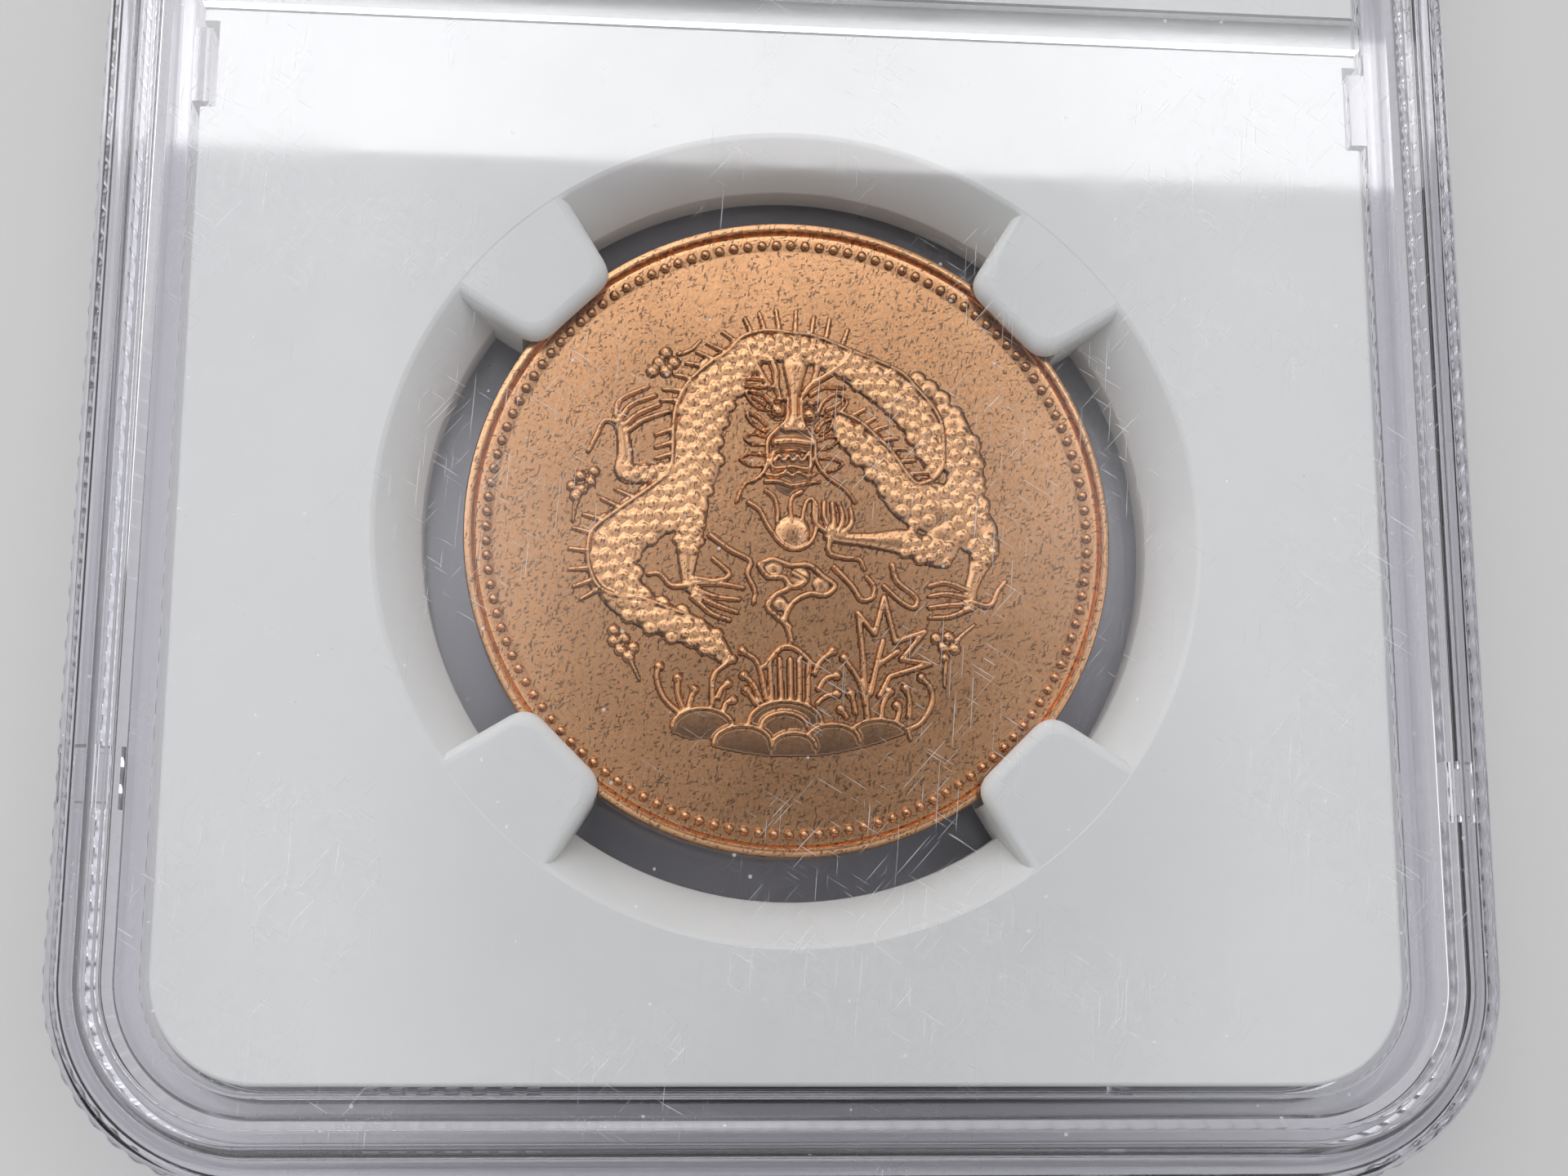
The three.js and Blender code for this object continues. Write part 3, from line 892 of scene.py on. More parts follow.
def build_blank():
    """The struck disc: raised rims, a groove inside them and flat fields."""
    coin = bpy.context.scene.capsule.coin
    field = field_height()
    radius = COIN_RADIUS
    crest = COIN_HIGH.z
    rim = radius - coin.rim_width
    face = [
        (rim - 0.85 * MM, field),
        (rim - 0.30 * MM, field + 0.03 * MM),
        (rim - 0.14 * MM, field + 0.02 * MM),
        (rim - 0.09 * MM, field - 0.04 * MM),
        (rim - 0.05 * MM, field),
        (rim, crest - 0.08 * MM),
        (rim + 0.05 * MM, crest - 0.01 * MM),
        (rim + 0.12 * MM, crest),
        (radius - 0.16 * MM, crest - 0.01 * MM),
        (radius - 0.06 * MM, crest - 0.05 * MM),
        (radius, crest - 0.16 * MM),
    ]
    rear = [(r, 2 * MID_Z - z) for r, z in face]
    piece = lathe_solid("coin_blank", rear + face[::-1], 256, COIN_CENTRE)
    shade(piece, material("copper", copper))
    return place(piece, "coin", "struck_copper", "coin")


def build_beads(name, z):
    """One ring of flattened beads on a field of the coin."""
    coin = bpy.context.scene.capsule.coin
    tree = Repeat(name, {
        "Count": "Int", "Circle": "Float", "Radius": "Float", "Height": "Float", "Centre": "Vector"})
    circle = tree.add("GeometryNodeMeshCircle", {
        "Vertices": tree.given["Count"], "Radius": tree.given["Circle"]})
    bead = tree.add("GeometryNodeMeshUVSphere", {"Segments": 12, "Rings": 6, "Radius": 1.0})
    size = tree.add("ShaderNodeCombineXYZ", {
        "X": tree.given["Radius"], "Y": tree.given["Radius"], "Z": tree.given["Height"]})
    stand = tree.add("GeometryNodeInstanceOnPoints", {
        "Points": circle, "Instance": bead, "Scale": size})
    move = tree.add("GeometryNodeTransform", {
        "Geometry": stand, "Translation": tree.given["Centre"]})
    # The beads' copper paints shade on their lower parts, next to the field.
    piece = tree.finish(move, {
        "Count": coin.beads, "Circle": coin.bead_circle, "Radius": coin.bead_radius,
        "Height": coin.bead_height, "Centre": (COIN_CENTRE.x, COIN_CENTRE.y, z),
        "Material": material("copper_recess_tone_and_painted_shade", copper_recess_tone_and_painted_shade)})
    return place(piece, "coin", "struck_copper")


# ---- Relief, drawn as heights over the coin's field ----

class Relief:
    """A grid of heights in millimetres over the coin, about its centre."""

    def __init__(self, low, high, step):
        self.step = step
        self.xs = np.arange(low[0], high[0] + step, step)
        self.ys = np.arange(low[1], high[1] + step, step)
        self.height = np.zeros((len(self.ys), len(self.xs)))

    def blank(self):
        """An empty grid of the same shape."""
        other = copy.copy(self)
        other.height = np.zeros_like(self.height)
        return other

    def patch(self, x, y, reach):
        """The grid's rows and columns within reach of a point, and their distances from it."""
        columns = slice(*np.searchsorted(self.xs, (x - reach, x + reach)))
        rows = slice(*np.searchsorted(self.ys, (y - reach, y + reach)))
        away = np.hypot(self.xs[None, columns] - x, self.ys[rows, None] - y)
        return (rows, columns), away

    def dome(self, x, y, radius, rise, base=0.0, power=0.5):
        """A round bump, kept where it is higher than what is there."""
        where, away = self.patch(x, y, radius)
        bump = rise * np.clip(1 - (away / radius) ** 2, 0, 1) ** power
        bump = np.where(away < radius, bump + base, 0)
        self.height[where] = np.maximum(self.height[where], bump)

    def stroke(self, points, width=0.15, rise=0.15, taper=1.0, power=0.4):
        """A rounded line through points, narrowing to taper times its width at the end."""
        line = smooth_line([(x, y, 0) for x, y in points], self.step * 0.7)
        for i, (x, y, _) in enumerate(line):
            share = 1 - (1 - taper) * i / max(len(line) - 1, 1)
            self.dome(x, y, width * share, rise * (0.5 + 0.5 * share), power=power)

    def limb(self, points, rise):
        """A full rounded form through [x, y, half width] points."""
        for x, y, half in smooth_line(points, self.step):
            self.dome(x, y, half, rise, power=0.45)

    def ring(self, x, y, radius, width, rise, start=0.0, end=360.0):
        """An arc of a round line."""
        steps = max(int(radius * math.radians(end - start) / self.step), 8)
        for k in range(steps + 1):
            angle = math.radians(start + (end - start) * k / steps)
            self.dome(x + radius * math.cos(angle), y + radius * math.sin(angle), width, rise)


def smooth_line(points, step):
    """Points close together along a smooth curve through the given ones."""
    known = [np.array(p, float) for p in points]
    known = [2 * known[0] - known[1], *known, 2 * known[-1] - known[-2]]
    line = []
    for a, b, c, d in zip(known, known[1:], known[2:], known[3:]):
        count = max(int(np.hypot(*(c - b)[:2]) / step), 1)
        for k in range(count):
            t = k / count
            line.append(0.5 * (2 * b + (c - a) * t + (2 * a - 5 * b + 4 * c - d) * t * t
                               + (3 * b - a - 3 * c + d) * t ** 3))
    line.append(known[-2])
    return line


def pebbles(relief, form, points):
    """Rounded scales set in staggered rows over a limb's form."""
    line = smooth_line(points, 0.02)
    travelled = 0.0
    row = 0
    for before, here in zip(line, line[1:]):
        travelled += float(np.hypot(*(here - before)[:2]))
        half = here[2]
        spacing = 0.60 if half > 0.7 else 0.46
        if travelled < spacing * 0.80:
            continue
        travelled = 0.0
        row += 1
        way = (here - before)[:2]
        way /= np.hypot(*way)
        across = np.array([-way[1], way[0]])
        places = np.arange(-6, 7) * spacing + (spacing / 2 if row % 2 else 0)
        for offset in places:
            if abs(offset) > half - 0.06:
                continue
            x, y = here[:2] + across * offset
            rows, columns = form.patch(x, y, form.step)[0]
            under = form.height[rows, columns]
            if under.size and under.max() > 0:
                relief.dome(x, y, spacing * 0.57, 0.13, float(under.max()) - 0.06, 0.6)


# The relief's strokes, in millimetres about the coin's centre. A limb's points are x, y and half its
# width. A stroke's are x and y.
BODY = [
    (-2.9, -4.9, .4), (-3.5, -4.3, .6), (-4.5, -3.75, .7), (-5.8, -3.2, .75), (-6.8, -2.6, .85),
    (-7.4, -1.8, 1), (-7.6, -.7, 1.05), (-7.4, .2, 1.15), (-6.2, 1.1, 1.15), (-4.8, 2.15, 1.1),
    (-4, 3.4, 1.05), (-4, 4.4, 1), (-3.7, 5.6, 1.1), (-3.3, 6.6, 1.1), (-2.6, 7.6, .95),
    (-1.4, 8.6, .75), (.1, 8.8, .6), (1.4, 8.6, .6), (2.7, 8, .7), (4, 7.3, .9), (5.1, 6.4, .9),
    (6, 5.3, .85), (6.4, 4, .6), (6.5, 3.2, .35),
]
NECK = [
    (2.4, 5.3, .45), (2.9, 4.7, .65), (3.7, 4, .75), (4.6, 2.9, .8), (5.4, 1.9, 1), (6.7, 1.5, 1.2),
]
FLANK = [(7.5, 5.3, .6), (7.8, 3.9, .85), (7.9, 2.6, .85), (7.7, 1.4, 1.1), (8.3, .45, 1)]
HIND_LEG = [(8.3, .45, .9), (8.6, -.2, .7), (8.3, -1.2, .4), (8, -2, .3), (7.9, -2.7, .35)]
RIGHT_ARM = [
    (6.9, .3, .8), (6.6, -.5, .6), (5.2, 0, .6), (3.8, .1, .38), (2.4, .2, .28), (1.8, .35, .3),
]
LEFT_LEG = [(-4.2, 1.7, .75), (-4.3, .6, .65), (-4.4, -.6, .45), (-4.4, -1.6, .3), (-4.2, -1.9, .4)]
UPPER_LIMB = [
    (-5.1, 3.1, .35), (-6.4, 3, .45), (-7.1, 3.1, .45), (-7.1, 3.9, .35), (-7.2, 4.8, .3),
    (-7.4, 5.3, .27),
]
BACK_LINE = [
    (-4.7, -3.1), (-6.3, -2.5), (-7.3, -2.4), (-8.2, -2), (-8.6, -1.25), (-8.7, -.45), (-8.5, .5),
    (-7.4, 1.4), (-5.8, 2.55), (-5.1, 3.3), (-5, 4.9), (-4.9, 5.85), (-4.6, 6.65), (-4.1, 7.35),
    (-3.3, 8.05), (-2.6, 8.5), (-1.9, 9.2), (-.9, 9.5), (.35, 9.4), (1.4, 9.25), (3, 8.6), (5, 7.75),
    (5.85, 6.9), (6.55, 6.05), (6.9, 5.25), (6.95, 4.2), (6.9, 3.5), (6.55, 2.95), (6, 2.65),
    (5.5, 2.8), (4.6, 4.1), (3.95, 4.75), (3.25, 5.4), (2.45, 5.8),
]
SPINES = [
    ((-6.6, 1.9), (-7.5, 2.3)), ((-7.3, 1.5), (-8.1, 1.9)), ((-8.2, 1), (-8.9, 1.2)),
    ((-8.6, .4), (-9.3, .6)), ((-8.7, -.4), (-9.5, -.3)), ((-8.7, -1.15), (-9.5, -1.2)),
    ((-8.6, -1.7), (-9.3, -1.95)), ((-8.3, -2.1), (-9, -2.5)), ((-2.75, 8.55), (-3.45, 8.9)),
    ((-3.25, 8.2), (-3.9, 8.5)), ((-3.85, 7.9), (-4.4, 8)), ((-4.35, 7.35), (-4.9, 7.45)),
    ((-4.7, 6.75), (-5.4, 6.8)), ((-4.9, 6.3), (-5.5, 6.3)), ((-5.05, 5), (-5.75, 4.75)),
    ((-5.1, 4.4), (-5.75, 4.2)), ((-5.1, 3.9), (-5.75, 3.7)), ((-2.05, 8.9), (-2.75, 9.4)),
    ((-1.5, 9.4), (-1.8, 10.05)), ((-.9, 9.5), (-1.15, 10.3)), ((-.25, 9.5), (-.4, 10.45)),
    ((.45, 9.45), (.5, 10.4)), ((1.15, 9.35), (1.3, 10.2)), ((1.8, 9.1), (2, 10.1)),
    ((2.5, 8.8), (2.8, 9.6)), ((2.85, 5.65), (3.5, 6)), ((3.4, 5.3), (3.95, 5.6)),
    ((3.8, 5), (4.5, 5.25)), ((4.2, 4.6), (4.9, 4.7)), ((4.55, 4.2), (5.3, 4.2)),
    ((5, 3.65), (5.65, 3.7)), ((5.45, 3.1), (6.2, 3.15)),
]
CLAWS = [
    [(-7.4, 5.3), (-8, 5.35), (-8.3, 4.8), (-8.7, 4)], [(-7.5, 5.6), (-7.3, 6.3), (-6.1, 6.9)],
    [(-7.3, 5.5), (-6.8, 6.1), (-5.8, 6.5)], [(-7.1, 5.2), (-6.5, 5.7), (-5.6, 6.1)],
    [(-7, 4.9), (-6.3, 5.4), (-5.2, 5.8)], [(-4.4, -1.9), (-5.1, -1.9), (-5.6, -1.4), (-6.1, -1.4)],
    [(-3.4, .3), (-2.5, -.35), (-1.7, -.8), (-1.8, -1.4), (-1.5, -2.1), (-1.55, -2.65)],
    [(-4.05, -1.6), (-3.15, -1.7), (-2.6, -1.4), (-3.3, -.7)], [(-4, -1.8), (-2.8, -1.85), (-2, -2)],
    [(-4, -2.1), (-3.15, -2.4), (-2.2, -2.5)], [(-4.1, -2.3), (-3.15, -2.75), (-2.3, -3.05)],
    [(-4.2, -2.4), (-3.4, -3.1), (-2.6, -3.4)], [(1.8, .4), (1.2, .9), (1.15, 1.8)],
    [(1.9, .5), (1.6, 1.1), (1.6, 1.8)], [(2, .5), (2, 1.1), (1.95, 1.75)],
    [(2.2, .4), (2.4, 1.1), (2.25, 1.75)], [(2.4, .4), (2.8, .9), (2.75, 1.5)],
    [(1.8, .2), (1.8, -.45), (2.4, -.65), (3.1, -.75), (3.3, -1.15)],
    [(2, -1.1), (2.75, -1.9), (3.15, -2.5), (3.65, -2.4), (3.7, -1.9), (3.4, -1.5)],
    [(4.55, -1), (4.75, -1.7), (5.55, -2.4), (5.45, -2.85), (4.9, -2.6), (4.15, -1.9)],
    [(7.9, -2.1), (6.9, -1.75), (6.15, -1.9)], [(7.8, -2.4), (6.9, -2.25), (6.15, -2.35)],
    [(7.8, -2.7), (6.9, -2.75), (6.15, -2.85)], [(7.9, -2.9), (7, -3.25), (6.15, -3.3)],
    [(8, -2.6), (8.8, -2.75), (9.15, -2.15), (9.5, -1.7)],
]
CLOUD = [
    [(-1.3, -1), (-.7, -.75), (.1, -1), (.9, -1), (1.5, -1.5), (2, -1.9), (1.6, -2.3), (.9, -2.25),
     (.2, -2.6), (-.2, -3.3), (0, -4), (.05, -4.3)],
    [(-1.3, -1), (-.9, -1.5), (-.2, -1.55), (-.05, -2), (-.6, -2.3), (-.95, -2.8), (-.6, -3.2),
     (0, -3.7)],
    [(.2, -1.35), (.7, -1.7), (.2, -1.95), (-.1, -1.7)],
]
LEAF = [
    [(3.3, -7.6), (3.15, -4.7)], [(3.15, -4.7), (3, -3.1)], [(3, -3.1), (3.7, -4)],
    [(3.7, -4), (4.15, -2.4)], [(4.15, -2.4), (4.6, -4.35)], [(4.6, -4.35), (5.9, -3.9)],
    [(5.9, -3.9), (4.85, -5.1)], [(4.85, -5.1), (6.1, -5.3)], [(6.1, -5.3), (4.3, -5.85)],
    [(4.3, -5.85), (3.85, -6.7)], [(3.45, -6.6), (3.75, -5.4), (4.05, -4.3)],
    [(3.75, -5.4), (4.7, -4.75)],
]
HEAD_LINES = [
    ([(.66, 6.4), (.68, 5.5), (.9, 5), (1.22, 4.5), (1.3, 3.6), (1.75, 2.95), (2.55, 2.35),
     (2.95, 1.8)], .12),
    ([(.08, 6.4), (.02, 5.5), (-.5, 4.95), (-.85, 4.5), (-.9, 3.45), (-1.3, 2.85), (-1.9, 2.55),
     (-2.25, 1.8)], .12),
    ([(1.4, 4.55), (1.9, 4.75), (2.3, 4.6), (1.9, 4.25), (1.45, 4.15)], .09),
    ([(1.5, 3.75), (2, 3.75), (2.45, 3.5), (2, 3.2), (1.6, 3.2)], .09),
    ([(-1, 4.75), (-1.5, 4.85), (-1.85, 4.65), (-1.5, 4.35), (-1.05, 4.35)], .09),
    ([(-1.05, 3.9), (-1.6, 3.95), (-2.05, 3.7), (-1.6, 3.4), (-1.05, 3.4)], .09),
    ([(-.9, 3), (-.45, 2.95), (-.05, 3.1), (.2, 2.95), (.5, 3.1), (.9, 2.95), (1.25, 3.05)], .12),
    ([(-.95, 2.7), (-.4, 2.7), (.2, 2.52), (.8, 2.62), (1.4, 2.7)], .12),
    ([(1.38, 5.8), (1.65, 6.3), (2.2, 6.65), (2.7, 6.45), (2.5, 5.95), (1.9, 5.7), (1.45, 5.75)], .11),
    ([(1.8, 5.95), (2.2, 6.15), (2.5, 6.4)], .11),
    ([(-.6, 6.15), (-1, 6.6), (-1.75, 6.75), (-1.6, 6.35), (-1.2, 6), (-.75, 5.9)], .11),
    ([(-.95, 6.2), (-1.45, 6.5)], .11),
    ([(-.9, 5.25), (-1.35, 5.65), (-1.75, 5.75), (-1.5, 5.3), (-.95, 4.95)], .1),
    ([(1.35, 5), (1.6, 5.35), (2.05, 5.5), (1.9, 5.1), (1.5, 4.8)], .1),
    ([(-1.8, 8.85), (-1.5, 8.3), (-1.25, 7.8), (-.95, 7.3), (-.7, 6.95)], .2),
    ([(-.62, 8.15), (-.45, 7.6), (-.42, 6.95), (-.3, 6.55)], .2),
    ([(2.95, 8.5), (2.6, 8.05), (2.05, 7.65), (1.5, 7.3), (1.05, 7), (.75, 6.6)], .2),
    ([(1.45, 8.1), (1.35, 7.6), (1.2, 7.2)], .18), ([(-1, 7.3), (-1.6, 7.35), (-2.1, 7.2)], .11),
    ([(-.95, 6.95), (-1.5, 7), (-1.95, 7)], .11), ([(1.1, 6.6), (1.7, 6.95), (2.6, 6.95)], .11),
    ([(-.8, 6.4), (-.4, 6.35), (0, 6.45)], .1), ([(.7, 6.3), (1.1, 6.2), (1.45, 6.3)], .1),
]
FLAMES = [
    [(-1.7, 1.75), (-1.25, 1.45), (-1, .95), (-.7, .45), (-.35, 0), (.2, -.3), (.85, -.1), (1.2, .5),
     (1.27, 1.55), (1.1, 1.92), (.85, 1.85), (.7, 1.45), (.62, 1)],
    [(-.95, 2.3), (-.6, 2), (-.45, 1.4), (-.48, .9)], [(.6, 2.25), (.2, 2), (.1, 1.5), (.18, .95)],
]
BERRIES = [
    ([(-5.3, 8.45), (-5.6, 8), (-4.95, 8), (-5.9, 7.6), (-5.3, 7.6)], .29, [(-4.7, 8.4), (-4.2, 8.6),
     (-3.75, 9.05)]),
    ([(-8.45, 3.1), (-9.05, 2.9), (-8.6, 2.65), (-9.4, 2.45), (-8.95, 2.3), (-9.25, 2)], .26,
     [(-9.2, 1.8), (-9.3, 1.4), (-9.35, .9)]),
    ([(-7.6, -3.85), (-7.6, -4.3), (-7.15, -4.2), (-6.75, -4.6), (-7.3, -4.7), (-6.95, -5)], .27,
     [(-6.9, -5.1), (-6.7, -5.5), (-6.5, -5.95)]),
    ([(6.4, -4.2), (6.95, -4.15), (6.7, -4.6), (7.2, -4.65)], .28, [(7.3, -4.3), (7.6, -4),
     (8.1, -3.6)]),
    ([(6.75, -5.05)], .22, [(6.8, -5), (6.75, -5.6), (6.7, -6.3)]),
]
SPROUTS = [
    [(-5.65, -5.4), (-5.75, -5.9), (-5.45, -6.75), (-4.75, -7.45)],
    [(-4.85, -5.9), (-4.85, -6.6), (-4.6, -7.3)], [(-4.15, -6.4), (-4.3, -6.8), (-4.4, -7.2)],
    [(-2.7, -6.15), (-3, -6.4), (-3.15, -6.75)], [(-2.5, -6.85), (-2.8, -7), (-2.9, -7.3)],
    [(-2.05, -4.75), (-1.4, -5.3), (-1.05, -6.8)], [(-2, -5.8), (-1.6, -6.2), (-1.3, -6.9)],
    [(-1.9, -6.45), (-1.7, -6.7), (-1.5, -7)], [(-2.5, -5.1), (-3.3, -5.8), (-3.4, -7)],
    [(1.85, -4.75), (1.3, -5.2), (1.05, -5.7)], [(2, -5.8), (1.5, -5.95), (1.2, -6.4)],
    [(2, -6.6), (1.5, -6.7), (1.15, -7)], [(2.35, -5.05), (3, -6.1), (3.3, -7.4)],
    [(2.6, -6.6), (2.7, -6.9), (2.8, -7.4)], [(2.15, -7.25), (2.3, -7.4), (2.4, -7.6)],
    [(4.3, -6.5), (4, -7), (3.9, -7.6)], [(5, -6.35), (5.15, -6.9), (5.1, -7.6)],
    [(4.6, -7.1), (4.7, -7.3), (4.6, -7.7)],
    [(5.7, -5.9), (6.1, -6.4), (6.1, -7.05), (5.6, -7.85), (4.85, -8.2)],
]
MOUNDS = [
    (-.25, -6.9, 1.6), (-.3, -7.4, 1), (-3.8, -7.2, 1.3), (3.8, -7.7, 1.35), (-2.1, -7.95, 1.25),
    (1.8, -7.9, 1.15), (.1, -8.25, .95),
]
BUMPS = [
    (5.9, 7.35, .4), (6.4, 6.95, .45), (6.95, 6.5, .42), (7.05, 6, .4), (7.5, 5.75, .45),
    (7.75, 5.2, .42), (8.3, 4.4, .38), (8.45, 3.6, .38), (8.45, 2.8, .38),
]


def draw_beast(relief):
    """The scaled, looping body with its limbs, spines and claws."""
    form = relief.blank()
    for points in (BODY, NECK, FLANK):
        form.limb(points, 0.15)
    for points in (HIND_LEG, RIGHT_ARM, LEFT_LEG, UPPER_LIMB):
        form.limb(points, 0.16)
    relief.height = np.maximum(relief.height, form.height)
    for points in (BODY, NECK, FLANK):
        pebbles(relief, form, points)
    for points in (RIGHT_ARM, UPPER_LIMB, HIND_LEG, LEFT_LEG):
        pebbles(relief, form, points[:3])
    relief.stroke(BACK_LINE, 0.13, 0.24)
    for base, tip in SPINES:
        relief.stroke([base, tip], 0.13, 0.19, 0.75)
    for points in CLAWS:
        relief.stroke(points, 0.15, 0.21, 0.75)
    for x, y, radius in BUMPS:
        relief.dome(x, y, radius, 0.14)


def draw_head(relief):
    """The beast's face: brow, muzzle, eyes, mouth, mane, horns and whiskers."""
    relief.limb([(.25, 4.6, .9), (.2, 3.5, .95), (.2, 2.9, .85)], 0.05)
    relief.limb([
        (.42, 7.9, .55), (.38, 7.2, .38), (.36, 6.5, .23), (.36, 5.7, .22), (.32, 5.25, .38)], 0.20)
    for x in (-.02, .66):
        relief.dome(x, 5.1, .27, 0.22)
    for x, y in ((-.37, 5.88), (1.03, 5.7)):
        relief.ring(x, y, .40, .06, 0.08)
        relief.dome(x, y, .30, 0.26)
    relief.stroke([(-.5, 4.45), (.25, 4.5), (1.0, 4.42)], .21, 0.24)
    teeth = [(-.55 + k * .2, 3.62 + .24 * (k % 2)) for k in range(8)]
    relief.stroke(teeth, .09, 0.2)
    relief.stroke([
        (-.6, 4.0), (-.72, 3.5), (-.5, 3.28), (.2, 3.36), (.9, 3.26), (1.05, 3.5), (1.0, 4.0)],
        .11, 0.22)
    relief.stroke([(-.55, 4.05), (.2, 4.1), (.95, 4.02)], .08, 0.18)
    for points, width in HEAD_LINES:
        relief.stroke(points, width, 0.22, 0.7)


def draw_garden(relief):
    """Pearl with flames, cloud, leaf, berries, sprouts, fan and mounds."""
    relief.dome(.17, .45, .78, 0.17, power=0.35)
    for points in FLAMES:
        relief.stroke(points, 0.12, 0.2, 0.8)
    for points in CLOUD:
        relief.stroke(points, 0.14, 0.18)
    for x, y, radius in ((-.65, -1.15, .42), (.5, -1.5, .45), (1.4, -1.85, .4), (-.4, -2.7, .35)):
        relief.dome(x, y, radius, 0.11)
    for points in LEAF:
        relief.stroke(points, 0.14, 0.19)
    for berries, radius, stalk in BERRIES:
        for x, y in berries:
            relief.dome(x, y, radius, 0.19)
        relief.stroke(stalk, 0.12, 0.13, 0.6)
    for points in SPROUTS:
        relief.stroke(points, 0.13, 0.18)
        relief.dome(*points[0], .23, 0.22)
    relief.stroke([(-1.1, -5.4), (-.5, -4.7), (-.05, -4.55), (.4, -4.75), (.95, -5.3)], 0.14, 0.2)
    for x in (-.9, -.45, 0.0, .4, .8):
        relief.stroke([(x, -5.1), (x * .95, -6.1), (x * .9, -7.1)], 0.13, 0.18)
    for x, top, half in MOUNDS:
        mound(relief, x, top, half)


def mound(relief, x, top, half):
    """A low mound in front of those behind it: its face under a raised arc."""
    drop = 0.62 * half
    share = np.clip(1 - ((relief.xs[None, :] - x) / half) ** 2, 0, 1)
    arc = top - drop * (1 - np.sqrt(share))
    ground = -9.3 + 0.04 * relief.xs[None, :] ** 2
    ys = relief.ys[:, None]
    face = (share > 0) & (ys < arc) & (ys > np.maximum(ground, arc - 1.3))
    relief.height = np.where(face, 0.09 + 0.05 * (ys - top), relief.height)
    line = []
    for k in range(9):
        angle = math.pi * k / 8
        line.append((x - half * math.cos(angle), top - drop * (1 - math.sin(angle))))
    relief.stroke(line, .11, 0.2)


def draw_rosette(relief):
    """The reverse: a plain twelve-petal rosette inside two fine rings."""
    relief.dome(0, 0, 1.1, 0.2)
    for k in range(12):
        angle = k * math.pi / 6
        c, s = math.cos(angle), math.sin(angle)
        petal = ((1.4, .2), (2.6, .55), (4.0, .62), (5.2, .2))
        relief.limb([(away * c, away * s, half) for away, half in petal], 0.17)
        c, s = math.cos(angle + math.pi / 12), math.sin(angle + math.pi / 12)
        relief.stroke([(3.6 * c, 3.6 * s), (4.8 * c, 4.8 * s), (5.9 * c, 5.9 * s)], 0.13, 0.15)
        relief.dome(6.15 * c, 6.15 * s, .26, 0.18)
    relief.ring(0, 0, 7.1, .11, 0.15)
    for k in range(48):
        angle = k * math.pi / 24
        c, s = math.cos(angle), math.sin(angle)
        tilt = (-s * .35, c * .35)
        relief.stroke([(7.9 * c, 7.9 * s), (8.6 * c + tilt[0], 8.6 * s + tilt[1])], 0.16, 0.15, 0.5)


def kept_blocks(height, size):
    """Which blocks of cells hold relief, with no two left touching only at a corner."""
    rows, columns = (height.shape[0] - 1) // size, (height.shape[1] - 1) // size
    kept = np.zeros((rows + 2, columns + 2), bool)
    for r in range(rows):
        for c in range(columns):
            part = height[r * size:(r + 1) * size + 1, c * size:(c + 1) * size + 1]
            kept[r + 1, c + 1] = part.max() > 0
    changed = True
    while changed:
        a, b = kept[:-1, :-1], kept[1:, 1:]
        c, d = kept[1:, :-1], kept[:-1, 1:]
        first = a & b & ~c & ~d
        second = c & d & ~a & ~b
        changed = bool(first.any() or second.any())
        kept[1:, :-1] |= first
        kept[:-1, :-1] |= second
    return kept[1:-1, 1:-1]


def relief_piece(name, relief, field, facing):
    """Closed islands of relief standing on a field that faces up (1) or down (-1)."""
    size = 4
    coin = bpy.context.scene.capsule.coin
    height = np.minimum(relief.height, coin.relief_height / MM)
    kept = kept_blocks(height, size)
    numbers = {}
    vertices = []
    c, s = math.cos(coin.turn), math.sin(coin.turn)

    def corner(row, column, low):
        key = (row, column, low)
        if key not in numbers:
            numbers[key] = len(vertices)
            x, y = relief.xs[column] * facing, relief.ys[row]
            rise = height[row, column]
            lift = -0.045 if low else (rise if rise > 0 else -0.015)
            vertices.append((
                COIN_CENTRE.x + (x * c - y * s) * MM,
                COIN_CENTRE.y + (x * s + y * c) * MM,
                field + facing * lift * MM,
            ))
        return numbers[key]

    faces = []
    rows, columns = kept.shape
    for r, q in zip(*np.nonzero(kept)):
        top, left = r * size, q * size
        bottom, right = top + size, left + size
        for i in range(top, bottom):
            for j in range(left, right):
                faces.append([corner(i, j, False), corner(i, j + 1, False),
                              corner(i + 1, j + 1, False), corner(i + 1, j, False)])
        faces.append([corner(top, left, True), corner(bottom, left, True),
                      corner(bottom, right, True), corner(top, right, True)])
        sides = (
            (r == 0 or not kept[r - 1, q], [(top, j) for j in range(left, right + 1)]),
            (r + 1 == rows or not kept[r + 1, q], [(bottom, j) for j in range(right, left - 1, -1)]),
            (q == 0 or not kept[r, q - 1], [(i, left) for i in range(bottom, top - 1, -1)]),
            (q + 1 == columns or not kept[r, q + 1], [(i, right) for i in range(top, bottom + 1)]),
        )
        for open_side, edge in sides:
            if open_side:
                upper = [corner(i, j, False) for i, j in reversed(edge)]
                faces.append([corner(*edge[0], True), corner(*edge[-1], True), *upper])
    piece = mesh_object(name, vertices, faces)
    # The relief's copper paints shade into its low places, round the foot of each form.
    shade(piece, material("copper_recess_tone_and_painted_shade", copper_recess_tone_and_painted_shade), 60.0)
    return place(piece, "coin", "struck_copper")


def build_relief():
    """The relief of both faces."""
    step = 0.06
    front = Relief((-9.9, -9.9), (9.9, 10.8), step)
    draw_beast(front)
    draw_head(front)
    draw_garden(front)
    front.xs = front.xs * 0.99 - 0.08
    front.ys = front.ys - 0.45
    relief_piece("coin_relief", front, field_height(), 1)
    reverse = Relief((-9.2, -9.2), (9.2, 9.2), step * 1.3)
    draw_rosette(reverse)
    relief_piece("coin_reverse_relief", reverse, 2 * MID_Z - field_height(), -1)


# ---- Label cards ----

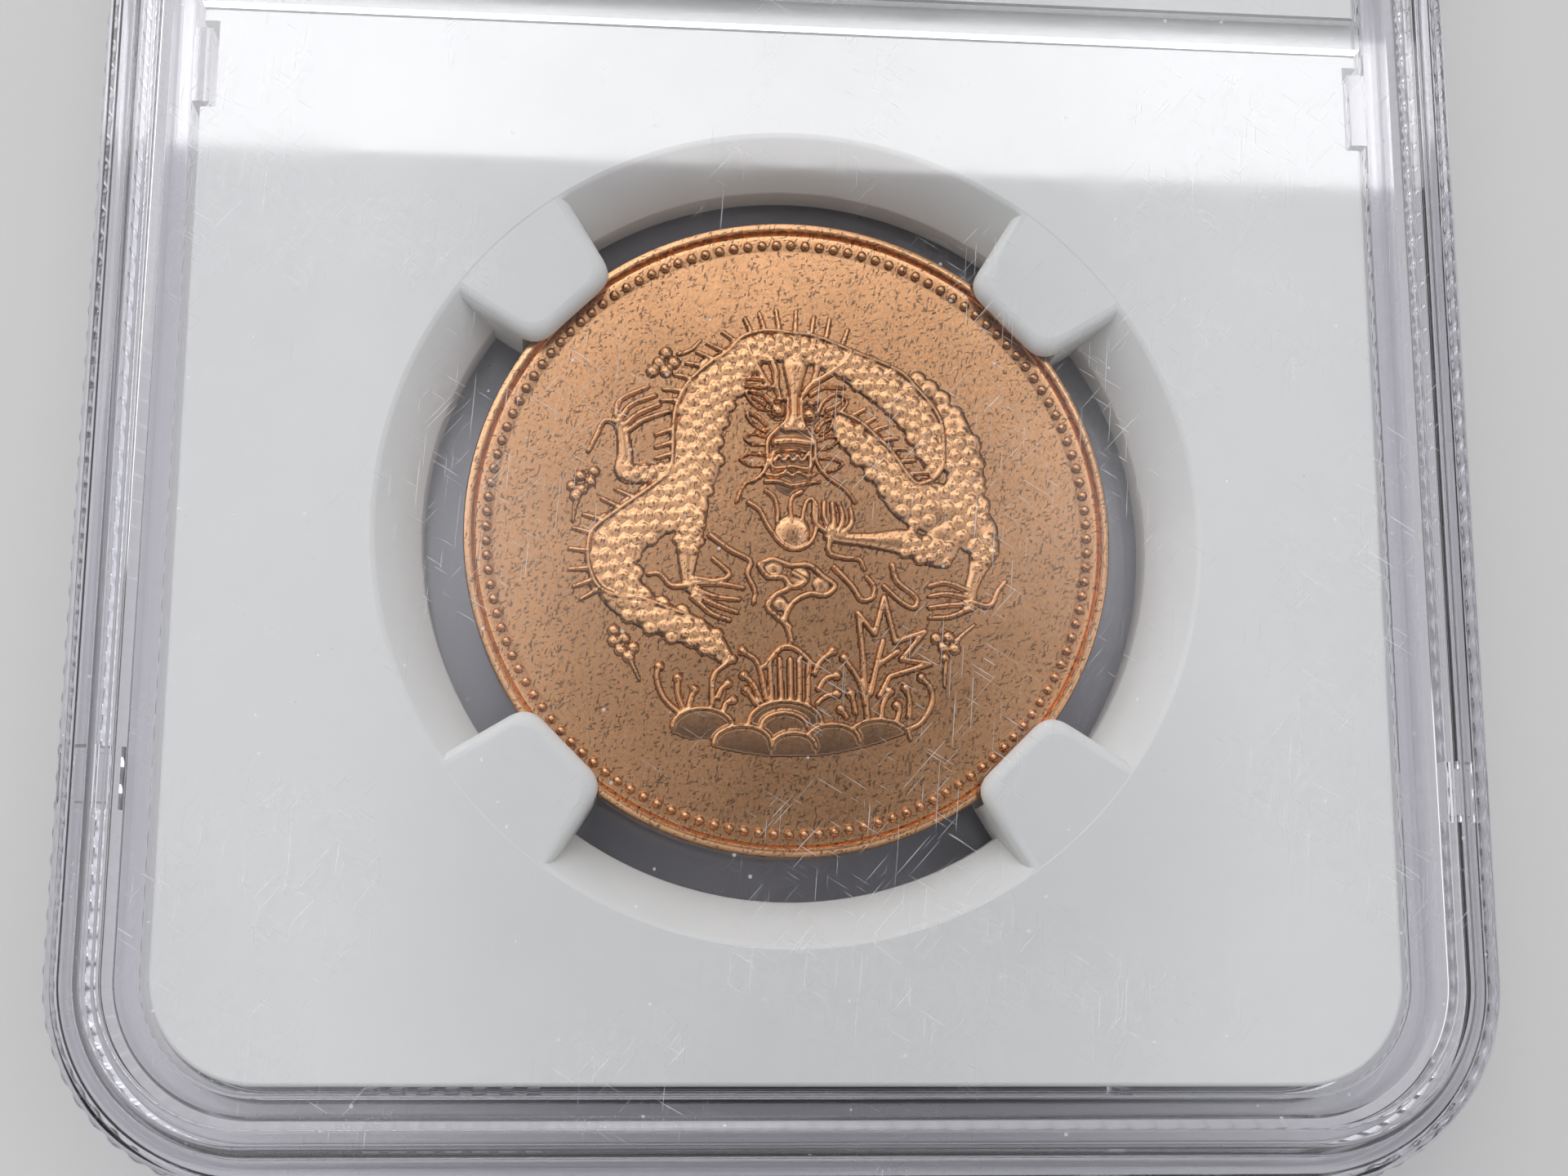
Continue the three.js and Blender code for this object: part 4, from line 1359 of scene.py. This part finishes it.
def build_cards():
    """The printed card over the core and the foil card under it."""
    card = bpy.context.scene.capsule.card
    for name, node, low, high, slot, maker in (
        ("front_card", "front_label", FRONT_CARD_LOW, FRONT_CARD_HIGH, "label_card", card_print),
        ("rear_card", "rear_label", REAR_CARD_LOW, REAR_CARD_HIGH, "label_foil", foil),
    ):
        piece = soft_plate(
            name, high.x, (high.y - low.y) / 2, card.corner_radius, low.z, high.z, 0.05 * MM,
            (CARD_CENTRE.x, CARD_CENTRE.y), 8)
        shade(piece, material(maker.__name__, maker))
        place(piece, "base", slot, node)


# ---- Stage ----

def area_light(name, place_at, aim, size, power, colour=(1.0, 1.0, 1.0)):
    """A rectangular softbox that faces a point."""
    light = bpy.data.lights.new(name, "AREA")
    light.shape = "RECTANGLE"
    light.size, light.size_y = size
    light.energy = power
    light.color = colour
    lamp = bpy.data.objects.new(name, light)
    lamp.location = place_at
    lamp.rotation_euler = (Vector(aim) - Vector(place_at)).to_track_quat("-Z", "Y").to_euler()
    bpy.context.scene.collection.objects.link(lamp)
    return lamp


def studio_world():
    """Soft surroundings: bright overhead round small shaded patches, and dim near the floor."""
    world = bpy.data.worlds.new("studio")
    world.use_nodes = True
    tree = world.node_tree
    direction = tree.nodes.new("ShaderNodeTexCoord").outputs["Generated"]
    levels = []
    # Each patch: where it is, the cosines where it starts and is full, the strength outside and in.
    for aim, start, full, outside, inside in (
        ((0.04, 0.22, 1.0), 0.45, 1.0, 0.07, 1.28),
        ((0.10, 0.06, 1.0), 0.971, 0.997, 1.0, 0.06),
        ((0.09, 0.37, 1.0), 0.978, 0.999, 1.0, 0.06),
    ):
        facing = tree.nodes.new("ShaderNodeVectorMath")
        facing.operation = "DOT_PRODUCT"
        facing.inputs[1].default_value = Vector(aim).normalized()
        tree.links.new(direction, facing.inputs[0])
        ramp = tree.nodes.new("ShaderNodeMapRange")
        ramp.interpolation_type = "SMOOTHSTEP"
        ramp.inputs["From Min"].default_value = start
        ramp.inputs["From Max"].default_value = full
        ramp.inputs["To Min"].default_value = outside
        ramp.inputs["To Max"].default_value = inside
        tree.links.new(facing.outputs["Value"], ramp.inputs["Value"])
        levels.append(ramp.outputs["Result"])
    strength = levels[0]
    for level in levels[1:]:
        product = tree.nodes.new("ShaderNodeMath")
        product.operation = "MULTIPLY"
        tree.links.new(strength, product.inputs[0])
        tree.links.new(level, product.inputs[1])
        strength = product.outputs[0]
    seen = tree.nodes.new("ShaderNodeMath")
    seen.operation = "MULTIPLY"
    tree.links.new(tree.nodes.new("ShaderNodeLightPath").outputs["Is Camera Ray"], seen.inputs[0])
    seen.inputs[1].default_value = 0.5
    lighter = tree.nodes.new("ShaderNodeMath")
    lighter.operation = "MAXIMUM"
    tree.links.new(strength, lighter.inputs[0])
    tree.links.new(seen.outputs[0], lighter.inputs[1])
    backdrop = tree.nodes["Background"]
    backdrop.inputs["Color"].default_value = (0.95, 0.97, 1.0, 1.0)
    tree.links.new(lighter.outputs[0], backdrop.inputs["Strength"])
    return world


def build_stage():
    """Pale floor, soft light and the camera."""
    stage = bpy.context.scene.capsule.stage
    floor = ring_solid("floor", [corner_ring(1.5, 1.5, 0.3, z) for z in (-0.02, 0.0)])
    shade(floor, material("floor_paper", floor_paper))
    bpy.context.scene.world = studio_world()
    bpy.context.scene.view_settings.view_transform = "Standard"
    area_light("key", (-0.38, 0.58, 0.42), (0, -0.01, 0), (1.20, 0.80), stage.key)
    area_light("fill", (0.75, -0.10, 0.45), (0, -0.01, 0), (0.40, 0.40), stage.fill)
    area_light("strip", (0.05, 0.272, 0.60), (0.05, 0.0, 0.0), (0.60, 0.050), stage.strip)
    camera = bpy.data.objects.new("camera", bpy.data.cameras.new("camera"))
    camera.data.lens = stage.lens
    camera.data.sensor_width = 36.0
    camera.data.clip_start = 0.004
    camera.location = (-8.17 * MM, COIN_CENTRE.y - 19.99 * MM, COIN_HIGH.z + 89.41 * MM)
    camera.rotation_mode = "ZYX"
    camera.rotation_euler = (math.radians(11.11), math.radians(-4.97), math.radians(1.14))
    bpy.context.scene.collection.objects.link(camera)
    bpy.context.scene.camera = camera


# ---- Operators and panel ----

class CAPSULE_OT_front_shell(bpy.types.Operator):
    """Build the clear front half shell."""

    bl_idname = "capsule.front_shell"
    bl_label = "Front shell"

    def execute(self, context):
        build_front_shell()
        return {"FINISHED"}


class CAPSULE_OT_rear_shell(bpy.types.Operator):
    """Build the clear rear half shell."""

    bl_idname = "capsule.rear_shell"
    bl_label = "Rear shell"

    def execute(self, context):
        build_rear_shell()
        return {"FINISHED"}


class CAPSULE_OT_core(bpy.types.Operator):
    """Build the white core with its four prongs."""

    bl_idname = "capsule.core"
    bl_label = "White core"

    def execute(self, context):
        build_core()
        return {"FINISHED"}


class CAPSULE_OT_coin(bpy.types.Operator):
    """Build the coin's disc and its rings of beads."""

    bl_idname = "capsule.coin"
    bl_label = "Coin"

    def execute(self, context):
        build_blank()
        build_beads("front_beads", field_height() + 0.01 * MM)
        build_beads("rear_beads", 2 * MID_Z - field_height() - 0.01 * MM)
        return {"FINISHED"}


class CAPSULE_OT_relief(bpy.types.Operator):
    """Build the relief of both faces of the coin."""

    bl_idname = "capsule.relief"
    bl_label = "Coin relief"

    def execute(self, context):
        build_relief()
        return {"FINISHED"}


class CAPSULE_OT_cards(bpy.types.Operator):
    """Build the two label cards."""

    bl_idname = "capsule.cards"
    bl_label = "Label cards"

    def execute(self, context):
        build_cards()
        return {"FINISHED"}


class CAPSULE_OT_stage(bpy.types.Operator):
    """Set up the floor, the light and the camera."""

    bl_idname = "capsule.stage"
    bl_label = "Stage"

    def execute(self, context):
        build_stage()
        return {"FINISHED"}


OPERATORS = (
    CAPSULE_OT_stage,
    CAPSULE_OT_front_shell,
    CAPSULE_OT_rear_shell,
    CAPSULE_OT_core,
    CAPSULE_OT_coin,
    CAPSULE_OT_relief,
    CAPSULE_OT_cards,
)


class CAPSULE_PT_panel(bpy.types.Panel):
    """Lists the coin capsule's build steps."""

    bl_label = "Coin capsule"
    bl_idname = "CAPSULE_PT_panel"
    bl_space_type = "VIEW_3D"
    bl_region_type = "UI"
    bl_category = "Capsule"

    def draw(self, context):
        for operator in OPERATORS:
            self.layout.operator(operator.bl_idname)


CLASSES = (
    ShellSettings, CoreSettings, CoinSettings, CardSettings, StageSettings, CapsuleSettings,
    *OPERATORS, CAPSULE_PT_panel,
)


def register():
    """Registers the settings, operators and panel."""
    for kind in CLASSES:
        bpy.utils.register_class(kind)
    bpy.types.Scene.capsule = PointerProperty(type=CapsuleSettings)


def unregister():
    """Removes the settings, operators and panel."""
    del bpy.types.Scene.capsule
    for kind in reversed(CLASSES):
        bpy.utils.unregister_class(kind)


def main():
    """Builds the capsule."""
    register()
    for operator in OPERATORS:
        group, name = operator.bl_idname.split(".")
        getattr(getattr(bpy.ops, group), name)()


if __name__ == "__main__":
    main()
